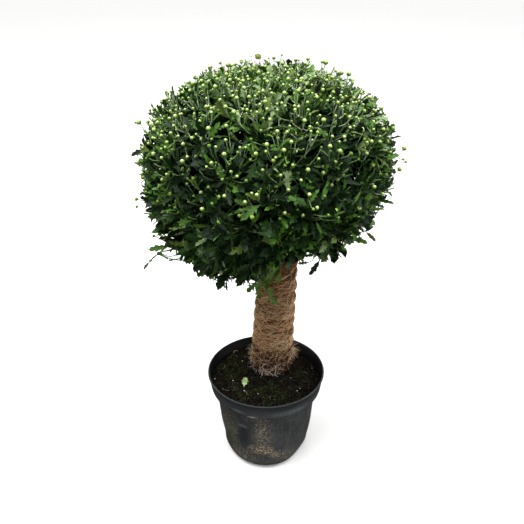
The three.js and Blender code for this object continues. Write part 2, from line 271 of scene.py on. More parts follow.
class Finish:
    """A Principled material with a few helpers for its nodes."""

    def __init__(self, name, roughness, specular):
        self.material = bpy.data.materials.new(name)
        self.material.use_nodes = True
        self.nodes = self.material.node_tree.nodes
        self.links = self.material.node_tree.links
        self.shader = self.nodes["Principled BSDF"]
        self.shader.inputs["Roughness"].default_value = roughness
        self.shader.inputs["Specular IOR Level"].default_value = specular
        self.coordinates = self.nodes.new("ShaderNodeTexCoord").outputs["Object"]

    def node(self, kind, inputs=None, **settings):
        made = self.nodes.new("ShaderNode" + kind)
        for key, value in settings.items():
            setattr(made, key, value)
        for key, value in (inputs or {}).items():
            if isinstance(value, bpy.types.NodeSocket):
                self.links.new(value, made.inputs[key])
            else:
                made.inputs[key].default_value = value
        return made

    def noise(self, scale, detail, roughness=0.6, distortion=0.0, stretch=None):
        """A noise pattern with features of about 1 / scale metres."""
        vector = self.coordinates
        if stretch:
            vector = self.node("Mapping", {"Vector": vector, "Scale": stretch}).outputs[0]
        inputs = {
            "Vector": vector,
            "Scale": scale,
            "Detail": detail,
            "Roughness": roughness,
            "Distortion": distortion,
        }
        return self.node("TexNoise", inputs).outputs["Fac"]

    def ramp(self, value, low, high, start=0.0, end=1.0):
        """value, moved from the range low..high to start..end and held there."""
        inputs = {"Value": value, "From Min": low, "From Max": high, "To Min": start, "To Max": end}
        return self.node("MapRange", inputs).outputs["Result"]

    def mix(self, share, first, second):
        first, second = ((*c, 1.0) if isinstance(c, tuple) else c for c in (first, second))
        return self.node("Mix", {0: share, 6: first, 7: second}, data_type="RGBA").outputs[2]

    def mottle(self, share, tint, dark, light=1.0):
        """The base colour: a tint that runs between a darker and a lighter shade of it."""
        shades = [tuple(level * c for c in tint) for level in (dark, light)]
        self.colour(self.mix(share, *shades))

    def maths(self, operation, first, second):
        return self.node("Math", {0: first, 1: second}, operation=operation).outputs[0]

    def near(self, centre, radii, soft):
        """1 at a point of the object, falling to 0 at radii from it."""
        shift = [-c / r for c, r in zip(centre, radii)]
        scale = [1 / r for r in radii]
        inputs = {"Vector": self.coordinates, "Location": shift, "Scale": scale}
        moved = self.node("Mapping", inputs).outputs[0]
        length = self.node("VectorMath", {0: moved}, operation="LENGTH").outputs["Value"]
        return self.ramp(length, 1.0, 1.0 - soft)

    def colour(self, socket):
        self.links.new(socket, self.shader.inputs["Base Color"])

    def rough(self, socket):
        self.links.new(socket, self.shader.inputs["Roughness"])

    def bump(self, height, depth, strength):
        made = self.node("Bump", {"Height": height, "Distance": depth, "Strength": strength})
        self.links.new(made.outputs[0], self.shader.inputs["Normal"])


def leaf_finish(name, tint, roughness, specular=0.15):
    """A leaf surface: one green with soft patches in it, and a faint quilting of veins."""
    finish = Finish(name, roughness, specular)
    finish.mottle(finish.ramp(finish.noise(90, 2), 0.35, 0.65), tint, 0.66, 1.3)
    finish.bump(finish.noise(420, 2), 0.5 * MM, 0.5)
    return finish.material


def stalk_finish(name, tint):
    finish = Finish(name, 0.6, 0.3)
    finish.mottle(finish.noise(160, 2), tint, 0.7)
    finish.bump(finish.noise(900, 1, stretch=(1, 1, 0.2)), 0.2 * MM, 0.5)
    return finish.material


def bud_finish(name, tint):
    finish = Finish(name, 0.55, 0.35)
    finish.mottle(finish.noise(500, 1), tint, 0.8)
    finish.bump(finish.noise(1400, 1), 0.3 * MM, 0.6)
    return finish.material


def pot_finish():
    """Charcoal nursery plastic: lighter low on the collar and darker at its top, scuffed, with
    dried compost down the front, painted shade on the left, in the crease and inside the collar,
    and a painted highlight below the collar.
    """
    finish = Finish("charcoal_plastic", 0.55, 0.35)
    cloud = finish.noise(16, 5, 0.65)
    fine = finish.noise(240, 4, 0.75)
    streak = finish.noise(70, 3, 0.6, stretch=(1, 1, 0.1))
    place = finish.node("SeparateXYZ", {0: finish.coordinates})
    height = place.outputs["Z"]
    base = finish.mix(finish.ramp(cloud, 0.32, 0.68), (0.03, 0.033, 0.036), (0.06, 0.064, 0.067))
    base = finish.mix(finish.ramp(streak, 0.45, 0.75, 0.0, 0.45), base, (0.1, 0.1, 0.096))
    base = finish.mix(finish.ramp(fine, 0.5, 0.68, 0.0, 0.75), base, (0.16, 0.16, 0.15))
    # Painted shade: the pot's left side turns darker.
    left = finish.ramp(place.outputs["X"], -15 * MM, -70 * MM, 0.0, 0.65)
    base = finish.mix(left, base, (0.02, 0.023, 0.026))
    # The collar is lighter low down and darker towards its top.
    foot = POT_HEIGHT - COLLAR_HEIGHT
    collar = finish.ramp(height, foot - 2 * MM, foot + 1 * MM)
    upper = finish.ramp(height, foot + 14 * MM, foot + 26 * MM)
    base = finish.mix(finish.maths("MULTIPLY", collar, 0.6), base, (0.05, 0.057, 0.062))
    base = finish.mix(finish.maths("MULTIPLY", upper, 0.8), base, (0.024, 0.027, 0.029))
    grit = finish.ramp(finish.noise(300, 3, 0.55), 0.5, 0.6)
    for centre, radii, amount, tint in SPLASHES:
        patch = finish.near(centre, radii, 0.9)
        spots = finish.maths("MULTIPLY", finish.maths("MULTIPLY", patch, amount), grit)
        base = finish.mix(finish.maths("MINIMUM", spots, 0.92), base, tint)
    for centre, radii, amount, tint in SMEARS_AND_PAINTED_LIGHT:
        patch = finish.near(centre, radii, 0.6)
        patch = finish.maths("MULTIPLY", patch, finish.ramp(fine, 0.3, 0.55))
        base = finish.mix(finish.maths("MULTIPLY", patch, amount), base, tint)
    # Painted shade: the collar's inner face, above its foot, is near black.
    raised = finish.ramp(height, foot - 1 * MM, foot)
    painted_shade_inside = finish.maths("MULTIPLY", inside_collar(finish, height), raised)
    base = finish.mix(painted_shade_inside, base, (0.006, 0.006, 0.007))
    finish.colour(base)
    finish.rough(finish.ramp(cloud, 0.3, 0.7, 0.45, 0.72))
    relief = finish.maths("MULTIPLY", cloud, 1.5)
    relief = finish.maths("ADD", relief, finish.maths("MULTIPLY", fine, 0.2))
    finish.bump(relief, 1.5 * MM, 0.55)
    return finish.material


def inside_collar(finish, height):
    """1 on the inner face of the pot's collar, and 0 on its outer face."""
    foot = POT_HEIGHT - COLLAR_HEIGHT
    level = finish.node("VectorMath", {0: finish.coordinates, 1: (1, 1, 0)}, operation="MULTIPLY")
    away = finish.node("VectorMath", {0: level.outputs[0]}, operation="LENGTH").outputs["Value"]
    slant = (RIM_RADIUS - COLLAR_FOOT_RADIUS - 2 * MM) / COLLAR_HEIGHT
    wall = finish.maths("MULTIPLY_ADD", height, slant)
    wall.node.inputs[2].default_value = COLLAR_FOOT_RADIUS - POT_WALL / 2 - slant * foot
    return finish.ramp(finish.maths("SUBTRACT", away, wall), 0.3 * MM, -0.3 * MM)


def soil_finish(name, tint, wet):
    finish = Finish(name, 0.95, 0.03)
    finish.mottle(finish.ramp(finish.noise(120, 4), 0.35, 0.65), tint, wet)
    finish.bump(finish.noise(500, 3), 1.0 * MM, 0.8)
    return finish.material


def coir_finish(name, tint):
    finish = Finish(name, 0.9, 0.12)
    fibres = finish.noise(260, 4, 0.6, 1.2, stretch=(1, 1, 1.6))
    finish.mottle(finish.ramp(fibres, 0.3, 0.7), tint, 0.5)
    finish.bump(fibres, 1.0 * MM, 0.9)
    return finish.material


def mat_finish():
    """The matted coir under the strands, darkest near the compost."""
    finish = Finish("coir_mat", 0.95, 0.08)
    fibres = finish.noise(260, 4, 0.6, 1.2, stretch=(1, 1, 1.6))
    brown = finish.mix(finish.ramp(fibres, 0.35, 0.7), (0.035, 0.015, 0.007), (0.16, 0.07, 0.03))
    black = finish.mix(finish.ramp(fibres, 0.45, 0.75), (0.008, 0.004, 0.003), (0.05, 0.02, 0.01))
    height = finish.node("SeparateXYZ", {0: finish.coordinates}).outputs["Z"]
    foot = finish.ramp(height, SOIL_LEVEL + 78 * MM, SOIL_LEVEL + 22 * MM)
    finish.colour(finish.mix(foot, brown, black))
    finish.bump(fibres, 1.0 * MM, 0.9)
    return finish.material


# Dried compost on the pot: middle, reach, amount and colour of each splash.
SPLASHES = [
    ((-0.008, -0.108, 0.11), (0.026, 0.05, 0.075), 1.2, (0.36, 0.3, 0.2)),
    ((-0.012, -0.098, 0.062), (0.034, 0.05, 0.018), 2.4, (0.5, 0.39, 0.25)),
    ((0.024, -0.096, 0.045), (0.024, 0.05, 0.014), 2.2, (0.46, 0.37, 0.24)),
    ((-0.08, -0.06, 0.09), (0.04, 0.06, 0.09), 1.1, (0.24, 0.22, 0.13)),
    ((-0.05, -0.09, 0.03), (0.05, 0.06, 0.03), 1.3, (0.3, 0.26, 0.17)),
    ((0.05, -0.09, 0.03), (0.05, 0.05, 0.025), 0.9, (0.26, 0.22, 0.15)),
    ((-0.03, -0.115, 0.165), (0.05, 0.04, 0.02), 0.8, (0.24, 0.2, 0.14)),
]

# Scuffs and darker marks on the pot, the same way: the first is painted shade in the crease and the
# third a painted highlight below the collar.
SMEARS_AND_PAINTED_LIGHT = [
    # Painted shade in the crease.
    ((-0.05, -0.098, 0.098), (0.016, 0.05, 0.05), 0.85, (0.014, 0.017, 0.022)),
    ((-0.062, -0.1, 0.178), (0.03, 0.05, 0.016), 0.7, (0.014, 0.016, 0.02)),
    # A painted highlight below the collar.
    ((-0.03, -0.12, 0.173), (0.012, 0.03, 0.004), 0.95, (0.55, 0.55, 0.53)),
    ((-0.052, -0.1, 0.128), (0.014, 0.05, 0.007), 0.4, (0.26, 0.27, 0.27)),
    ((-0.06, -0.11, 0.182), (0.02, 0.03, 0.006), 0.5, (0.2, 0.22, 0.23)),
    ((0.05, -0.11, 0.181), (0.06, 0.06, 0.012), 0.7, (0.14, 0.155, 0.165)),
]


# Pot --------------------------------------------------------------------------------------


def spun(profile, segments):
    """A closed profile of (radius, height) pairs, from axis to axis, turned into a solid."""
    bm = bmesh.new()
    points = [bm.verts.new((radius, 0, height)) for radius, height in profile]
    edges = [bm.edges.new(pair) for pair in zip(points, points[1:])]
    bmesh.ops.spin(
        bm,
        geom=points + edges,
        cent=(0, 0, 0),
        axis=(0, 0, 1),
        angle=FULL_TURN,
        steps=segments,
        use_merge=True,
    )
    bmesh.ops.remove_doubles(bm, verts=bm.verts, dist=1e-6)
    bmesh.ops.recalc_face_normals(bm, faces=bm.faces)
    return bm


def corner(radius, height, rounding, start, end, steps):
    angles = [math.radians(start + (end - start) * i / steps) for i in range(steps + 1)]
    return [(radius + rounding * math.cos(a), height + rounding * math.sin(a)) for a in angles]


def slope(start, end, steps):
    """Evenly spaced profile points between two, without the ends."""
    return [
        (start[0] + (end[0] - start[0]) * i / steps, start[1] + (end[1] - start[1]) * i / steps)
        for i in range(1, steps)
    ]


def make_pot():
    """A blow-moulded pot: rounded foot, straight wall, ledge, stacking collar and rolled lip."""
    collar_foot = POT_HEIGHT - COLLAR_HEIGHT
    lip = 1.9 * MM
    rise = 2.5 * MM
    foot_ring = [
        (0, 0),
        (0.5 * BASE_RADIUS, 0),
        (BASE_RADIUS - BASE_ROUND - 3 * MM, 0),
    ]
    body_foot = corner(BASE_RADIUS - BASE_ROUND, BASE_ROUND, BASE_ROUND, -90, -10, 8)
    body_top = (BODY_TOP_RADIUS, collar_foot - 5 * MM)
    outside = foot_ring + body_foot + slope(body_foot[-1], body_top, 24) + [
        body_top,
        (BODY_TOP_RADIUS + 0.6 * MM, collar_foot - 3.2 * MM),
        (BODY_TOP_RADIUS + 3 * MM, collar_foot - 1.6 * MM),
        (COLLAR_FOOT_RADIUS - 2 * MM, collar_foot - 0.6 * MM),
        (COLLAR_FOOT_RADIUS - 0.5 * MM, collar_foot),
        (COLLAR_FOOT_RADIUS, collar_foot + 1.2 * MM),
    ]
    collar_top = (RIM_RADIUS - 1.4 * MM, POT_HEIGHT - 3.4 * MM)
    outside += slope(outside[-1], collar_top, 8) + [collar_top]
    rim = corner(RIM_RADIUS - lip, POT_HEIGHT - lip, lip, -40, 200, 9)
    inner_foot = (COLLAR_FOOT_RADIUS - POT_WALL, collar_foot + POT_WALL)
    body_inner = (BODY_TOP_RADIUS - POT_WALL, collar_foot - POT_WALL)
    hollow = BASE_ROUND - POT_WALL
    floor = corner(BASE_RADIUS - BASE_ROUND, rise + hollow, hollow, -10, -90, 4)
    inside = slope(rim[-1], inner_foot, 6) + [inner_foot, body_inner]
    inside += slope(body_inner, floor[0], 12) + floor + [(0, rise)]
    bm = spun(outside + rim + inside, POT_SEGMENTS)
    for vertex in bm.verts:
        warp_pot(vertex)
    pot = dress(mesh_of(bm, "pot_shell"), "pot_shell", pot_finish())
    drill(pot, DRAIN_HOLES, DRAIN_RADIUS, DRAIN_CIRCLE)
    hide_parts("pot")


def warp_pot(vertex):
    """Thin plastic is never quite round: shallow dents and a crease in the front left wall."""
    co = vertex.co
    radius = math.hypot(co.x, co.y)
    if radius < 0.8 * BASE_RADIUS:
        return
    turn = math.atan2(co.y, co.x)
    height = co.z / POT_HEIGHT
    body = math.sin(math.pi * min(height / 0.86, 1.0)) ** 0.7
    dents = 0.9 * math.sin(3 * turn + 1.1) + 0.7 * math.sin(5 * turn + 7 * height + 0.4)
    past = CREASE_BEARING - turn
    crease = sum(math.exp(-((way * past % FULL_TURN) / CREASE_WIDTH) ** 2) for way in (1, -1))
    dents -= CREASE_DEPTH * crease * (0.3 < height < 0.75)
    rim = 0.5 * math.sin(2 * turn + 0.7) * max(0.0, height - 0.8) / 0.2
    pressed = 0.0
    for bearing, level, width, depth in FOOT_DENTS:
        past = (turn - math.radians(bearing) + math.pi) % FULL_TURN - math.pi
        pressed -= depth * math.exp(-((past / width) ** 2) - ((co.z - level) / DENT_REACH) ** 2)
    shift = (body * dents + rim) * MM + pressed
    co.x += math.cos(turn) * shift
    co.y += math.sin(turn) * shift


# The crease's depth is in millimetres, and its width in radians.
CREASE_BEARING = math.radians(242)
CREASE_WIDTH = 0.05
CREASE_DEPTH = 1.6

# Dents low in the pot's wall: bearing in degrees, level, width in radians and depth.
FOOT_DENTS = [
    (-32, 16 * MM, 0.42, 7 * MM),
    (212, 30 * MM, 0.5, 6 * MM),
]


def drill(piece, count, radius, circle):
    """Drain holes through the pot's floor."""
    bm = bmesh.new()
    for i in range(count):
        angle = (i + 0.5) * FULL_TURN / count
        place = Matrix.Translation((circle * math.cos(angle), circle * math.sin(angle), 0))
        size = {"radius1": radius, "radius2": radius, "depth": 12 * MM}
        bmesh.ops.create_cone(bm, cap_ends=True, segments=24, matrix=place, **size)
    cutter = in_scene("drill", mesh_of(bm, "drill"))
    cut = piece.modifiers.new("drain_holes", "BOOLEAN")
    cut.operation = "DIFFERENCE"
    cut.object = cutter
    settle(piece)
    bpy.data.objects.remove(cutter)


def settle(piece):
    """Applies a piece's modifiers."""
    bpy.context.view_layer.update()
    shaped = piece.evaluated_get(bpy.context.evaluated_depsgraph_get())
    mesh = bpy.data.meshes.new_from_object(shaped)
    piece.modifiers.clear()
    piece.data = mesh


# Compost ----------------------------------------------------------------------------------


def soil_height(x, y):
    """The uneven compost surface: dips at the wall, and heaped a little round the trunk."""
    out = np.hypot(x, y) / RIM_RADIUS
    lumps = 1.5 * np.sin(41 * x + 17 * y + 1.0) * np.sin(33 * y - 12 * x)
    lumps = lumps + 0.9 * np.sin(97 * x + 40 * y) * np.cos(88 * y - 25 * x)
    heap = 5.0 * np.exp(-((np.hypot(x - TRUNK_FOOT.x, y - TRUNK_FOOT.y) / 0.055) ** 4))
    return SOIL_LEVEL + (lumps + heap - 4.5 * out**6 - 1.0) * MM


def make_soil():
    rng = np.random.default_rng(FINE_SEED)
    edge = RIM_RADIUS - 6.2 * MM
    bm = bmesh.new()
    bmesh.ops.create_grid(bm, x_segments=SOIL_GRID, y_segments=SOIL_GRID, size=edge)
    for vertex in bm.verts:
        x, y = vertex.co.x, vertex.co.y
        longest = max(abs(x), abs(y), 1e-9)
        pull = longest / max(math.hypot(x, y), 1e-9)
        x, y = x * pull, y * pull
        rough = rng.uniform(-0.7, 0.7) * MM
        vertex.co = (x, y, float(soil_height(x, y)) + rough)
    rim = [e for e in bm.edges if e.is_boundary]
    skirt = bmesh.ops.extrude_edge_only(bm, edges=rim)["geom"]
    for vertex in (g for g in skirt if isinstance(g, bmesh.types.BMVert)):
        vertex.co.z = SOIL_LEVEL - 16 * MM
        vertex.co.x *= 0.985
        vertex.co.y *= 0.985
    peat = soil_finish("peat", (0.013, 0.0105, 0.008), 0.2)
    bed = dress(mesh_of(bm, "compost_bed"), "compost_bed", peat)
    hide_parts("soil")
    crumbs(rng, peat)


def scatter_on_soil(rng, count, spread=0.93):
    """Places on the compost, clear of the trunk."""
    turn = rng.uniform(0, FULL_TURN, count * 2)
    out = np.sqrt(rng.uniform(0, 1, count * 2)) * spread * (RIM_RADIUS - 6 * MM)
    x, y = out * np.cos(turn), out * np.sin(turn)
    free = np.hypot(x - TRUNK_FOOT.x, y - TRUNK_FOOT.y) > TRUNK_FOOT_RADIUS + 1 * MM
    x, y = x[free][:count], y[free][:count]
    return np.stack([x, y, soil_height(x, y)], axis=1)


def lump_template(detail):
    bm = bmesh.new()
    bmesh.ops.create_icosphere(bm, subdivisions=detail, radius=1)
    for vertex in bm.verts:
        x, y, z = vertex.co
        vertex.co *= 1 + 0.28 * math.sin(5 * x + 3 * y) * math.cos(4 * z)
    return arrays_of(bm)


def lumps(rng, template, places, low, high, flat):
    """Lumps of random size and turn at places."""
    count = len(places)
    size = rng.uniform(low, high, count)[:, None]
    turn = rng.uniform(0, FULL_TURN, count)
    side = np.stack([np.cos(turn), np.sin(turn), rng.uniform(-0.4, 0.4, count)], axis=1)
    along = unit(np.cross([0, 0, 1], side))
    out = np.cross(side, along)
    length = size * rng.uniform(0.6, 1.2, (count, 1))
    return strewn(template, places, side * size, along * length, out * size * flat)


def moss_share(places):
    """Where moss grows: broken patches in a few places on the compost."""
    x, y = places[:, 0], places[:, 1]
    patches = 0.6 * (np.sin(152 * x + 80 * y + 2.2) + np.sin(131 * y - 93 * x + 0.6))
    cover = np.full(len(places), -1.6)
    for (middle_x, middle_y), spread in MOSS_PATCHES:
        away = np.hypot(x - middle_x * MM, y - middle_y * MM) / (spread * MM)
        cover = np.maximum(cover, 1.4 - 1.6 * away)
    return patches + cover


# Mossy places on the compost: middle and spread in millimetres.
MOSS_PATCHES = [
    ((-82, 40), 42),
    ((-50, -62), 30),
    ((20, -66), 44),
    ((78, -8), 22),
    ((-70, -10), 26),
]


def crumbs(rng, peat):
    """Lumps of wet and of dry peat, two mosses, and perlite."""

    def strew(name, places, low, high, finish, flat=0.7):
        batch = lumps(rng, template, places, low * MM, high * MM, flat)
        joined(name, [batch], finish)

    template = lump_template(1)
    strew("compost_crumbs", scatter_on_soil(rng, CRUMBS), 0.8, 2.8, peat)
    dry = soil_finish("dry_peat", (0.06, 0.055, 0.04), 0.4)
    strew("dry_crumbs", scatter_on_soil(rng, DRY_CRUMBS) + [0, 0, 0.6 * MM], 0.5, 1.5, dry)
    places = scatter_on_soil(rng, MOSS_LUMPS)
    places = places[moss_share(places) + rng.normal(0, 0.5, len(places)) > MOSS_FROM]
    pale = rng.uniform(0, 1, len(places)) < 0.3
    strew("moss_deep", places[~pale], 0.8, 2.1, soil_finish("moss_deep", (0.028, 0.04, 0.009), 0.3))
    strew("moss_pale", places[pale], 0.5, 1.5, soil_finish("moss_pale", (0.12, 0.14, 0.04), 0.4))
    specks = np.concatenate([scatter_on_soil(rng, 3, 0.85)[:, :2], MM * np.array(PERLITE)])
    specks = np.stack([*specks.T, soil_height(*specks.T) + 1.2 * MM], axis=1)
    strew("perlite", specks, 0.9, 1.7, soil_finish("perlite", (0.75, 0.74, 0.68), 0.8), 0.9)
    litter(rng)
    fallen_leaf()


# Perlite grains that stand out on the compost, in millimetres.
PERLITE = [(-48, -57), (106, 27), (-74, -19), (-115, -12), (56, -12), (75, -47)]


def litter(rng):
    """A few root ends and bits of straw that lie on the compost."""
    places = np.concatenate([scatter_on_soil(rng, 9), [[-0.076, 0.08, SOIL_LEVEL]]])
    places = places + [0, 0, 1.6 * MM]
    turn = rng.uniform(0, FULL_TURN, len(places))
    turn[-1] = 0.7
    length = rng.uniform(6, 18, len(places))[:, None] * MM
    lean = np.stack([np.cos(turn), np.sin(turn), rng.uniform(-0.05, 0.12, len(places))], axis=1)
    ends = places + lean * length
    out = np.linalg.norm(ends[:, :2], axis=1, keepdims=True)
    ends[:, :2] *= np.minimum(1.0, LITTER_CIRCLE / out)
    bow = rng.normal(0, 1, places.shape) * 0.18 * length
    bow[:, 2] = np.abs(bow[:, 2])
    third = lean * length / 3
    paths = bezier(places, places + third + bow, ends - third + bow, ends, 6)
    thick = rng.uniform(0.25, 0.5, len(places)) * MM
    thick[-1] = 1.1 * MM
    straw = coir_finish("straw", (0.4, 0.34, 0.22))
    tube_piece("litter", paths, thick, 0.6, 4, straw)


def fallen_leaf():
    """One pale leaf that has dropped on the compost in front of the stem."""
    start = np.array([[-49 * MM, -45 * MM, SOIL_LEVEL + 2.5 * MM]])
    along, face = unit(np.array([[0.12, 1.0, 0.12]])), unit(np.array([[0.1, -0.13, 1.0]]))
    side, size = np.cross(along, face), 25 * MM
    shape = leaf_template(TOOTHED_LEAF, 0.2, 0.2)
    blade = strewn(shape, start, 1.55 * size * side, size * along, size * face, np.array([0.2]))
    pale = leaf_finish("leaf_dropped", (0.33, 0.46, 0.2), 0.6)
    joined("fallen_leaf", [blade], pale)


# Trunk ------------------------------------------------------------------------------------


def trunk_share(height):
    """How far up the stem a height is, from 0 at its foot to 1 at its tip."""
    return (height - TRUNK_FOOT.z) / (TRUNK_TIP.z - TRUNK_FOOT.z)


def plain_radius(height):
    return TRUNK_FOOT_RADIUS + (TRUNK_TIP_RADIUS - TRUNK_FOOT_RADIUS) * trunk_share(height)


def trunk_axis(height):
    return TRUNK_FOOT.lerp(TRUNK_TIP, trunk_share(height))


def trunk_radius(height):
    return plain_radius(height) + ROOT_FLARE * math.exp(-(height - TRUNK_FOOT.z) / FLARE_HEIGHT)


def wrap_radius(turn, height):
    """The coir wrap's radius: a soft roll between each turn of the twine, and matted tufts."""
    phase = height / WRAP_PITCH * FULL_TURN + turn
    roll = WRAP_BULGE * (3.0 * np.abs(np.sin(phase / 2 + math.pi / 4)) ** 0.7 - 2.0)
    mats = 1.0 * np.sin(4 * turn + 90 * height) * np.sin(70 * height - 2 * turn)
    mats = mats + 0.6 * np.sin(9 * turn - 160 * height) * np.cos(7 * turn + 210 * height)
    return plain_radius(height) + roll + mats * MM + 0.4 * MM


def ways_at(turn):
    """The level ways out of the stem and round it at each turn."""
    level = np.zeros_like(turn)
    out = np.stack([np.cos(turn), np.sin(turn), level], axis=-1)
    return out, np.stack([-np.sin(turn), np.cos(turn), level], axis=-1)


def wrap_points(turn, height, lift=0.0):
    """Points on the wrap, lifted off it by some distance."""
    radius = wrap_radius(turn, height) + lift
    share = trunk_share(height)[..., None]
    axis = np.array(TRUNK_FOOT) * (1 - share) + np.array(TRUNK_TIP) * share
    return axis + radius[..., None] * ways_at(turn)[0]


def make_trunk():
    rng = np.random.default_rng(FINE_SEED + 1)
    foot, tip = TRUNK_LOW.z - 1 * MM, TRUNK_HIGH.z
    bm = bmesh.new()
    bmesh.ops.create_cone(bm, cap_ends=False, segments=WRAP_SIDES, radius1=1, radius2=1, depth=1)
    upright = [e for e in bm.edges if abs(e.verts[0].co.z - e.verts[1].co.z) > 0.5]
    bmesh.ops.subdivide_edges(bm, edges=upright, cuts=WRAP_RINGS, use_grid_fill=True)
    for vertex in bm.verts:
        turn = math.atan2(vertex.co.y, vertex.co.x)
        height = foot + (vertex.co.z + 0.5) * (tip - foot)
        ragged = rng.uniform(-0.35, 0.35) * MM
        vertex.co = wrap_points(np.array([turn]), np.array([height]), ragged)[0]
    bmesh.ops.holes_fill(bm, edges=[e for e in bm.edges if e.is_boundary], sides=0)
    bmesh.ops.recalc_face_normals(bm, faces=bm.faces)
    wrap = dress(mesh_of(bm, "coir_wrap"), "coir_wrap", mat_finish())
    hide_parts("trunk")
    make_strands(rng)
    make_twine()
    foot_fibres(rng)


def strand_paths(rng, count, low, high, slant, curl, lift, length):
    """Coir strands that lie on the wrap between two levels. Slant is how steeply they climb round
    it and curl how much each bends, both as spreads about none."""
    turn = rng.uniform(0, FULL_TURN, count)
    height = rng.uniform(low, high, count)
    climb = rng.normal(0.12, slant, count)
    size = rng.uniform(*length, count)
    t = np.linspace(-0.5, 0.5, 7)[None]
    bow = rng.normal(0, curl, count)[:, None] * (t * t - 0.08)
    run = size[:, None] * t
    rise, level = np.sin(climb)[:, None], np.cos(climb)[:, None]
    around = turn[:, None] + (run * level - bow * size[:, None] * rise) / TRUNK_FOOT_RADIUS
    upward = height[:, None] + run * rise + bow * size[:, None] * level
    upward = np.clip(upward, TRUNK_LOW.z, TRUNK_HIGH.z)
    off = lift * (rng.uniform(0.0, 1.0, count)[:, None] + rng.normal(0, 0.5, (count, 1)) * t)
    return wrap_points(around, upward, np.maximum(off, -0.2 * MM))


def make_strands(rng):
    """The matted coir: fine strands wound level round the stem, and looser curls near its foot."""
    length = (16 * MM, 52 * MM)
    for name, tint, thick, bands in STRANDS:
        batches = []
        for count, low, high, slant, curl in bands:
            paths = strand_paths(rng, count, low * MM, high * MM, slant, curl, 2.6 * MM, length)
            radii = rng.uniform(0.5, 1.4, count) * thick * MM
            batches.append(tubes(paths, radii, 0.7 * radii, 3))
        hairs = loose_hairs(rng, LOOSE_HAIRS)
        radii = rng.uniform(0.15, 0.26, LOOSE_HAIRS) * MM
        batches.append(tubes(hairs, radii, 0.6 * radii, 3))
        joined(name, batches, coir_finish(name, tint))


# Coir strands: name, tint and thickness, then for each band of the stem the count, the levels
# it lies between, its slant and its curl, with sizes in millimetres.
STRANDS = [
    ("strand_red", (0.27, 0.1, 0.04), 0.55, [(480, 395, 504, 0.4, 0.4)]),
    (
        "strand_dark",
        (0.085, 0.036, 0.019),
        0.55,
        [(480, 194, 258, 1.0, 1.4), (120, 262, 504, 0.5, 0.6)],
    ),
    (
        "strand_brown",
        (0.42, 0.21, 0.09),
        0.55,
        [(230, 380, 504, 0.35, 0.4), (380, 240, 420, 0.45, 0.5)],
    ),
    (
        "strand_tan",
        (0.92, 0.55, 0.28),
        0.46,
        [(90, 400, 504, 0.35, 0.4), (820, 262, 430, 0.4, 0.5), (150, 214, 285, 1.0, 1.9)],
    ),
    (
        "strand_pale",
        (1.0, 0.82, 0.55),
        0.4,
        [(430, 262, 430, 0.4, 0.5), (150, 206, 280, 1.1, 2.2)],
    ),
]


def loose_hairs(rng, count):
    """Fibre ends that stand off the wrap."""
    turn = rng.uniform(0, FULL_TURN, count)
    height = rng.uniform(TRUNK_LOW.z + 12 * MM, TRUNK_HIGH.z - 1 * MM, count)
    root = wrap_points(turn, height)
    out, around = ways_at(turn)
    size = rng.uniform(4 * MM, 11 * MM, count)[:, None]
    lean = 0.35 * out + rng.normal(0, 0.9, (count, 1)) * around
    lean = unit(lean + rng.normal(0, 0.4, (count, 1)) * [0, 0, 1])
    end = root + lean * size
    curl = rng.normal(0, 0.22, (count, 3)) * size
    return bezier(root, root + 0.35 * out * size, end - 0.2 * lean * size + curl, end, 6)


def make_twine():
    """Thin twine that pulls the wrap in, and one loose pale string that crosses it slantwise."""
    radius = np.array([TWINE_RADIUS])
    height = np.linspace(TRUNK_LOW.z + 10 * MM, TRUNK_HIGH.z - 4 * MM, 420)
    turn = -height / WRAP_PITCH * FULL_TURN - math.pi / 2
    path = wrap_points(turn, height, 0.2 * MM)[None]
    brown = coir_finish("twine_brown", (0.2, 0.1, 0.05))
    tube_piece("twine", path, radius, 1, 6, brown)
    height = np.linspace(STRING_LOW, STRING_HIGH, 90)
    turn = np.linspace(math.radians(232), math.radians(360), 90)
    path = wrap_points(turn, height, 1.8 * MM)[None]
    pale = coir_finish("string_pale", (0.8, 0.66, 0.45))
    tube_piece("pale_string", path, radius, 1, 6, pale)


def foot_fibres(rng):
    """A short frayed edge of coir on the compost, shaggy tufts above it, and pale root ends."""
    turn = rng.uniform(0, FULL_TURN, EDGE_FIBRES)
    height = SOIL_LEVEL + rng.uniform(1, 14, EDGE_FIBRES) * MM
    paths = drooping(rng, turn, height, (4 * MM, 9 * MM), -0.2)
    radii = rng.uniform(0.25, 0.5, EDGE_FIBRES) * MM
    brown = coir_finish("edge_brown", (0.16, 0.075, 0.035))
    tube_piece("coir_edge", paths, radii, 0.6, 3, brown)
    clumps = []
    for bearing, level, longest, count in TUFTS:
        turn = math.radians(bearing) + rng.normal(0, 0.15, count)
        height = level + rng.normal(0, 8 * MM, count)
        clumps.append(drooping(rng, turn, height, (6 * MM, longest), 1.3))
    paths = np.concatenate(clumps)
    radii = rng.uniform(0.2, 0.36, len(paths)) * MM
    tan = coir_finish("tuft_tan", (0.75, 0.55, 0.34))
    tube_piece("coir_tufts", paths, radii, 0.5, 3, tan)
    turn = rng.normal(math.radians(256), 0.5, ROOT_ENDS)
    height = SOIL_LEVEL + rng.uniform(3, 26, ROOT_ENDS) * MM
    paths = drooping(rng, turn, height, (8 * MM, 22 * MM), 0.25)
    radii = rng.uniform(0.26, 0.42, ROOT_ENDS) * MM
    pale = coir_finish("root_pale", (0.9, 0.78, 0.68))
    tube_piece("root_ends", paths, radii, 0.7, 3, pale)


# Shaggy tufts round the stem's foot: bearing in degrees, level, longest hair and hairs.
TUFTS = [
    (2, SOIL_LEVEL + 38 * MM, 24 * MM, 75),
    (344, SOIL_LEVEL + 30 * MM, 13 * MM, 25),
    (184, SOIL_LEVEL + 38 * MM, 17 * MM, 45),
    (205, SOIL_LEVEL + 24 * MM, 11 * MM, 20),
    (100, SOIL_LEVEL + 30 * MM, 18 * MM, 80),
]


